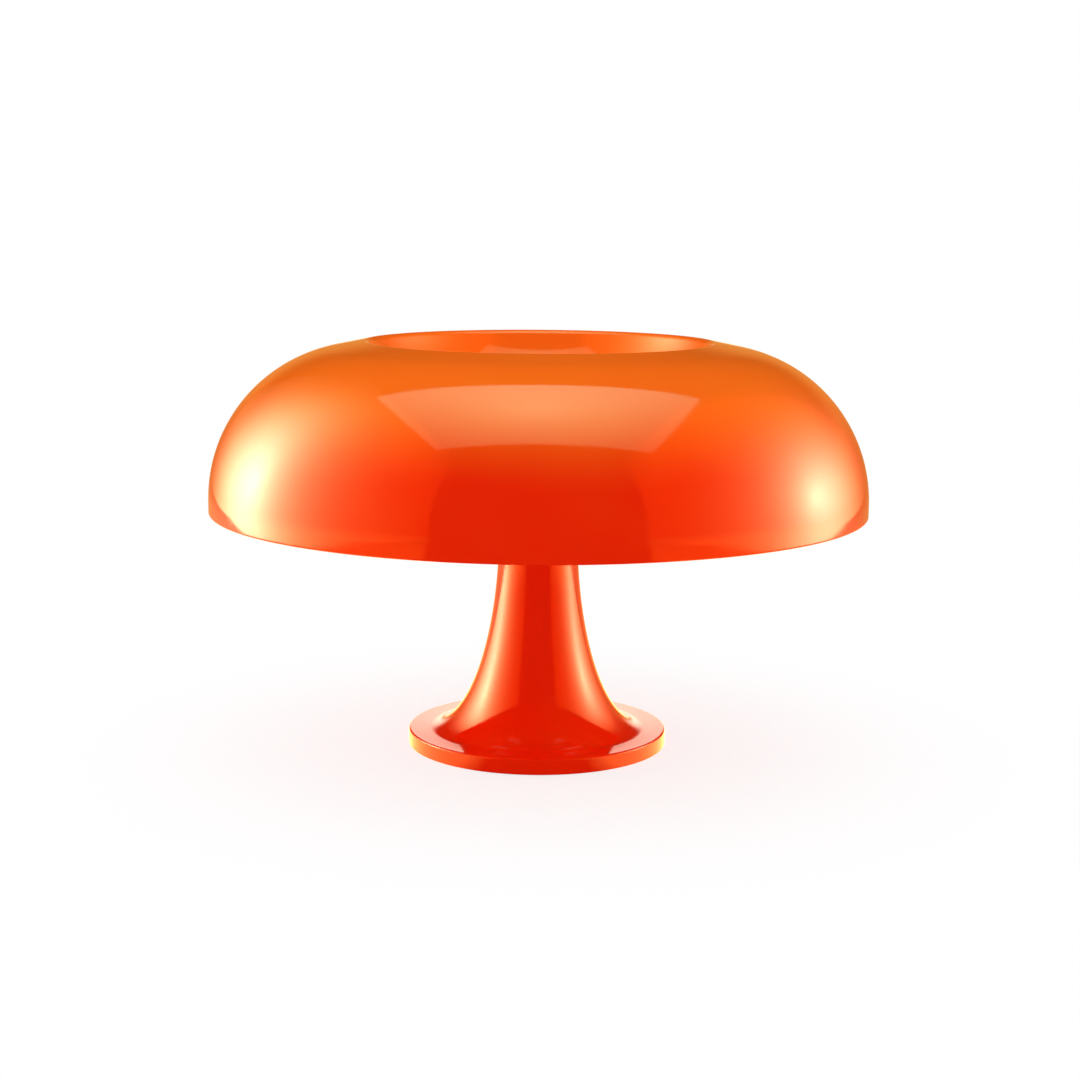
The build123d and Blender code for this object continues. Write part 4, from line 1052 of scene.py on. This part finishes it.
class LAMP_OT_holders(bpy.types.Operator):
    """Turns the four lampholders with their screw shells"""

    bl_idname = "lamp.holders"
    bl_label = "Lampholders"

    def execute(self, context):
        size = context.scene.lamp_holder
        bulb = context.scene.lamp_bulb
        thermoset = pressed_thermoset()
        brass = bare_brass("stamped brass")
        cap = (
            (size.nipple_bore, size.back - size.nipple_length, 0),
            (size.nipple, size.back - size.nipple_length, mm(0.4)),
            (size.nipple, size.back, 0),
            (size.radius, size.back, size.rounding),
            (size.radius, size.joint, mm(0.3)),
            (size.inner, size.joint, 0),
            (size.inner, size.back + size.back_wall, 0),
            (size.nipple_bore, size.back + size.back_wall, 0),
        )
        body = (
            (size.step - size.wall, size.joint - size.step_length, 0),
            (size.step, size.joint - size.step_length, 0),
            (size.step, size.joint, 0),
            (size.radius, size.joint, mm(0.3)),
            (size.mouth_radius, size.mouth, mm(0.6)),
            (size.mouth_bore, size.mouth, mm(0.6)),
            (size.mouth_bore, size.socket_end, 0),
            (size.bore, size.socket_end, mm(0.3)),
            (size.bore, size.floor, 0),
            (0, size.floor, 0),
            (0, size.joint, 0),
            (size.step - size.wall, size.joint, 0),
        )
        outer = bulb.shell + bulb.shell_wall
        shell = (
            [(bulb.shell_hole, bulb.shell_start, 0)]
            + rows(outer, bulb.shell_start, bulb.shell_end, bulb.pitch)
            + rows(bulb.shell, bulb.shell_end, bulb.shell_start + bulb.shell_wall, bulb.pitch)
            + [(bulb.shell_hole, bulb.shell_start + bulb.shell_wall, 0)]
        )
        cap_mesh = turned(cap, thermoset, segments=size.flute_count * 6, **fluted(size))
        hole_start = (-size.lead_rise, 0, size.back - mm(1))
        hole_end = (-size.lead_rise, 0, size.back + size.back_wall + mm(1))
        cap_mesh = drilled(cap_mesh, size.lead_hole, hole_start, hole_end)
        body_mesh = turned(body, thermoset, segments=128)
        half = bulb.pitch / 2
        thread = threaded(bulb, bulb.shell_start + half, bulb.shell_end + half)
        shell_mesh = turned(shell, brass, segments=72, **thread)
        at_lamps(
            "stand",
            ("holder_cap", "holder_plastic", cap_mesh),
            ("holder_body", "holder_plastic", body_mesh),
            ("screw_shell", "bare_brass", shell_mesh),
        )
        dress(brass, *at_each("contact_strip"))
        return {"FINISHED"}


class LAMP_OT_bulbs(bpy.types.Operator):
    """Blows the four bulbs and rolls the threads of their caps"""

    bl_idname = "lamp.bulbs"
    bl_label = "Bulbs"

    def execute(self, context):
        size = context.scene.lamp_bulb
        glass = opal_glass()
        metal = rolled_aluminium()
        vitrite = small_moulding("black vitrite glass", "vitrite", (0.05, 0.15), mm(2))
        tip = solder()
        reach = math.hypot(size.centre - size.neck_end, size.neck)
        lean = math.degrees(math.atan(size.neck / (size.centre - size.neck_end)))
        meet = 180 - lean - math.degrees(math.acos(size.globe / reach))
        centre = (0, size.centre)
        inner = size.globe - size.glass
        # In section the globe's arc runs from its meeting with the neck up to the far pole
        globe = arc(centre, (size.globe, size.globe), 90 - meet, 90, 44)
        lining = arc(centre, (inner, inner), 90, 90 - meet, 44)
        bulb = (
            [(size.neck - size.glass, size.neck_start, 0), (size.neck, size.neck_start, 0)]
            + [(size.neck, size.neck_end, size.neck_blend)]
            + globe
            + lining
            + [(size.neck - size.glass, size.neck_end, size.neck_blend + size.glass)]
        )
        wall = size.cap_wall
        lined, sleeve, base = size.cap - wall, size.sleeve - wall, size.cap_start + wall
        cap = (
            [(size.cap_hole, size.cap_start, 0), (size.cap - mm(0.8), size.cap_start, mm(0.3))]
            + rows(size.cap, size.cap_start + mm(0.8), size.flare_start, size.pitch)
            + [(size.sleeve, size.sleeve_start, mm(0.8)), (size.sleeve, size.cap_end, mm(0.15))]
            + [(sleeve, size.cap_end, 0), (sleeve, size.sleeve_start + wall / 2, 0)]
            + rows(lined, size.flare_start + wall / 2, base + mm(0.6), size.pitch)
            + [(lined - mm(0.6), base, 0), (size.cap_hole, base, 0)]
        )
        glass_mesh = turned(bulb, glass, segments=96)
        thread = threaded(size, size.cap_start + mm(0.5), size.flare_start - mm(0.3))
        cap_mesh = turned(cap, metal, segments=72, **thread)
        pieces = (("bulb_glass", "opal_glass", glass_mesh), ("bulb_cap", "cap_nickel", cap_mesh))
        at_lamps("bulb_{}", *pieces)
        dress(vitrite, *at_each("bulb_insulator"))
        dress(tip, *at_each("bulb_tip"))
        return {"FINISHED"}


class LAMP_OT_wiring(bpy.types.Operator):
    """Finishes the terminal block, its screws and the sleeved leads"""

    bl_idname = "lamp.wiring"
    bl_label = "Wiring"

    def execute(self, context):
        block = small_moulding("moulded polyamide", "polyamide", (0.35, 0.5), mm(0.8))
        dress(block, "terminal_block")
        dress(bare_brass("turned brass, terminals"), "terminal_screws")
        dress(braided_sleeve(), "leads")
        return {"FINISHED"}


class LAMP_OT_underside(bpy.types.Operator):
    """Finishes what is under the foot: plate, felt, nut, washer, screws and outlet bush"""

    bl_idname = "lamp.underside"
    bl_label = "Underside"

    def execute(self, context):
        dress(painted_iron(), "ballast_plate")
        dress(pressed_felt(), "felt_pad")
        dress(zinc_plated(), "foot_nut", "foot_washer", "plate_screws")
        dress(small_moulding("moulded nylon", "bush", (0.35, 0.5), mm(0.6)), "outlet_bush")
        return {"FINISHED"}


class LAMP_OT_studio(bpy.types.Operator):
    """Lays the floor, hangs the light panels and sets up the camera"""

    bl_idname = "lamp.studio"
    bl_label = "Studio"

    def execute(self, context):
        look = context.scene.lamp_studio
        scene = context.scene
        scene.view_settings.view_transform = "Standard"
        self.camera(scene)
        self.floor(look)
        self.panels(look)
        self.room(scene, look)
        return {"FINISHED"}

    def camera(self, scene):
        """The photograph's view: a slightly long lens from the front, a little above the shade."""
        data = bpy.data.cameras.new("camera")
        data.sensor_width = 36
        data.lens = 67.35
        data.clip_end = 50
        camera = shown("camera", data)
        where = Matrix.Translation((0.00139, -1.65535, 0.44956))
        pitch = Matrix.Rotation(math.radians(90 - 9.526), 4, "X")
        roll = Matrix.Rotation(math.radians(0.45), 4, "Z")
        camera.matrix_world = where @ pitch @ roll
        scene.camera = camera

    def floor(self, look):
        """White paper to the camera, with the lamp's soft shadow; in reflections, the lit table."""
        material, tree = blank(bpy.data.materials, "paper floor")
        paper = add(tree, "BsdfDiffuse", {"Color": tuple(look.floor_colour)})
        white = add(tree, "Emission", {"Strength": 1.0})
        spot = add(tree, "TexCoord").outputs["Object"]
        away = add(tree, "VectorMath", {0: spot}, operation="LENGTH").outputs["Value"]
        inputs = {"Value": away, "From Min": 0.12, "From Max": 0.5, "To Min": 0.8, "To Max": 1.0}
        faded = add(tree, "MapRange", inputs, interpolation_type="SMOOTHSTEP")
        camera = add(tree, "LightPath").outputs["Is Camera Ray"]
        share = add(tree, "Math", {0: camera, 1: faded}, operation="MULTIPLY")
        bright = add(tree, "MixShader", {0: share, 1: paper, 2: white})

        # Reflections see a wedge of dark table in front of the lamp and a lit table elsewhere
        spots = core(look.left * look.table, LEFT_CORE, (0.6, 0.6, 0.6), look.glow)
        spots += core(look.right * look.table, RIGHT_CORE, (0.5, 0.5, 0.5), look.glow)
        for side in (-0.25, 0.25):
            spots.append((look.glow, look.pool, (side, 0, 0), (0.3, 0.3, 1), DOMED))
        spots.append((look.gel, look.gel_level, (0, -0.5, 0), (2.5, 1.2, 1), FLAT))
        spots.append((look.amber, look.behind, (0, 0, 0), (9, 9, 9), FLAT))
        table = soft_spots(tree, spots)
        parts = add(tree, "SeparateXYZ", {0: spot}).outputs
        aside = add(tree, "Math", {0: parts["X"]}, operation="ABSOLUTE")
        inputs = {0: parts["Y"], 1: math.tan(look.dark_side), 2: aside}
        beyond = add(tree, "Math", inputs, operation="MULTIPLY_ADD")
        lit = add(tree, "MapRange", {"Value": beyond, "From Min": -0.02, "From Max": 0.02})
        lit_table = add(tree, "MixShader", {0: lit, 2: table})
        both = add(tree, "MixShader", {0: in_reflections(tree), 1: bright, 2: lit_table})
        add(tree, "OutputMaterial", {"Surface": both})
        edit = bmesh.new()
        bmesh.ops.create_circle(edit, cap_ends=True, segments=96, radius=4)
        mesh = written(edit, "floor")
        mesh.materials.append(material)
        shown("floor", mesh)

    def panels(self, look):
        """A large panel overhead, one on each side, and a white card low behind the lamp."""
        corners = ((-0.74, -0.8, 1.4), (0.84, -0.8, 1.4), (0.72, 0.37, 1.4), (-0.74, 0.36, 1.4))
        spots = core(look.overhead, (0, -0.2, 1.4), (1, 1, 1), look.daylight, look.daylight)
        panel("overhead_panel", corners, diffuser("diffuser, overhead", spots))
        sides = (
            ("left", LEFT_CORE, (1, 0.6, 0.85), look.left),
            ("right", RIGHT_CORE, (1, 0.52, 0.52), look.right),
        )
        for name, centre, spread, level in sides:
            x = centre[0]
            spots = core(level, centre, spread, look.glow)
            spots.append((look.gel, look.gel_level, (x, -0.5, 0.8), (1, 1.75, 1.9), FLAT))
            front = -abs(x) / math.tan(look.dark_side)
            corners = ((x, front, 0.0), (x, 2.4, 0.0), (x, 2.4, 2.6), (x, front, 2.6))
            panel(f"{name}_panel", corners, diffuser(f"diffuser, {name}", spots))
        corners = ((-0.6, 1.0, 0.0), (0.6, 1.0, 0.0), (0.6, 1.0, 0.6), (-0.6, 1.0, 0.6))
        spots = [(look.card_colour, look.card, (0, 1.0, 0.17), (0.4, 1, 0.18), FLAT)]
        panel("white_card", corners, diffuser("white card", spots))

    def room(self, scene, look):
        """White to the camera, a soft fill to matt surfaces and a dim room in reflections."""
        scene.world, tree = blank(bpy.data.worlds, "room")
        way = add(tree, "TexCoord").outputs["Generated"]
        parts = add(tree, "SeparateXYZ", {0: way}).outputs
        inputs = {"Value": parts["Z"], "From Max": 0.6}
        inputs |= {"To Min": look.fill, "To Max": look.fill_above}
        fill = add(tree, "MapRange", inputs)
        inputs = {"Value": parts["Z"], "From Min": 0.1, "From Max": 0.3}
        inputs |= {"To Min": look.behind, "To Max": look.room}
        low = add(tree, "MapRange", inputs, interpolation_type="SMOOTHSTEP")
        inputs = {"Value": parts["Y"], "From Min": 0.1, "From Max": 0.6}
        inputs |= {"To Min": look.front, "To Max": low.outputs[0]}
        mirrored = add(tree, "MapRange", inputs, interpolation_type="SMOOTHSTEP")
        shine = in_reflections(tree)
        inputs = {"Value": shine, "To Min": fill.outputs[0], "To Max": mirrored.outputs[0]}
        level = add(tree, "MapRange", inputs)
        camera = add(tree, "LightPath").outputs["Is Camera Ray"]
        final = add(tree, "MapRange", {"Value": camera, "To Min": level.outputs[0], "To Max": 1.0})
        cast = add(tree, "Mix", {0: shine, 6: WHITE, 7: tuple(look.amber)}, data_type="RGBA")
        background = add(tree, "Background", {"Color": cast.outputs[2], "Strength": final})
        add(tree, "OutputWorld", {"Surface": background})


class LAMP_PT_sidebar(bpy.types.Panel):
    """Sidebar with a button for each step"""

    bl_label = "Mushroom Table Lamp"
    bl_space_type = "VIEW_3D"
    bl_region_type = "UI"
    bl_category = "Lamp"

    def draw(self, context):
        for step in STEPS:
            self.layout.operator(step.bl_idname, text=step.bl_label)


STEPS = (
    LAMP_OT_shade,
    LAMP_OT_foot,
    LAMP_OT_knob,
    LAMP_OT_fittings,
    LAMP_OT_holders,
    LAMP_OT_bulbs,
    LAMP_OT_wiring,
    LAMP_OT_underside,
    LAMP_OT_studio,
)
SETTINGS = {
    "lamp_shade": ShadeSizes,
    "lamp_foot": FootSizes,
    "lamp_knob": KnobSizes,
    "lamp_holder": HolderSizes,
    "lamp_bulb": BulbSizes,
    "lamp_tube": TubeSizes,
    "lamp_finish": Finishes,
    "lamp_studio": StudioLook,
}


def register():
    """Registers the settings, steps and sidebar."""
    for name, group in SETTINGS.items():
        bpy.utils.register_class(group)
        setattr(bpy.types.Scene, name, bpy.props.PointerProperty(type=group))
    for step in STEPS + (LAMP_PT_sidebar,):
        bpy.utils.register_class(step)


def unregister():
    """Takes the sidebar, steps and settings away again."""
    for step in (LAMP_PT_sidebar,) + STEPS[::-1]:
        bpy.utils.unregister_class(step)
    for name, group in SETTINGS.items():
        delattr(bpy.types.Scene, name)
        bpy.utils.unregister_class(group)


def main():
    register()
    turning_tree()
    ring_tree()
    bpy.ops.lamp.studio()
    bpy.ops.lamp.shade()
    bpy.ops.lamp.foot()
    bpy.ops.lamp.knob()
    bpy.ops.lamp.fittings()
    bpy.ops.lamp.holders()
    bpy.ops.lamp.bulbs()
    bpy.ops.lamp.wiring()
    bpy.ops.lamp.underside()


if __name__ == "__main__":
    main()
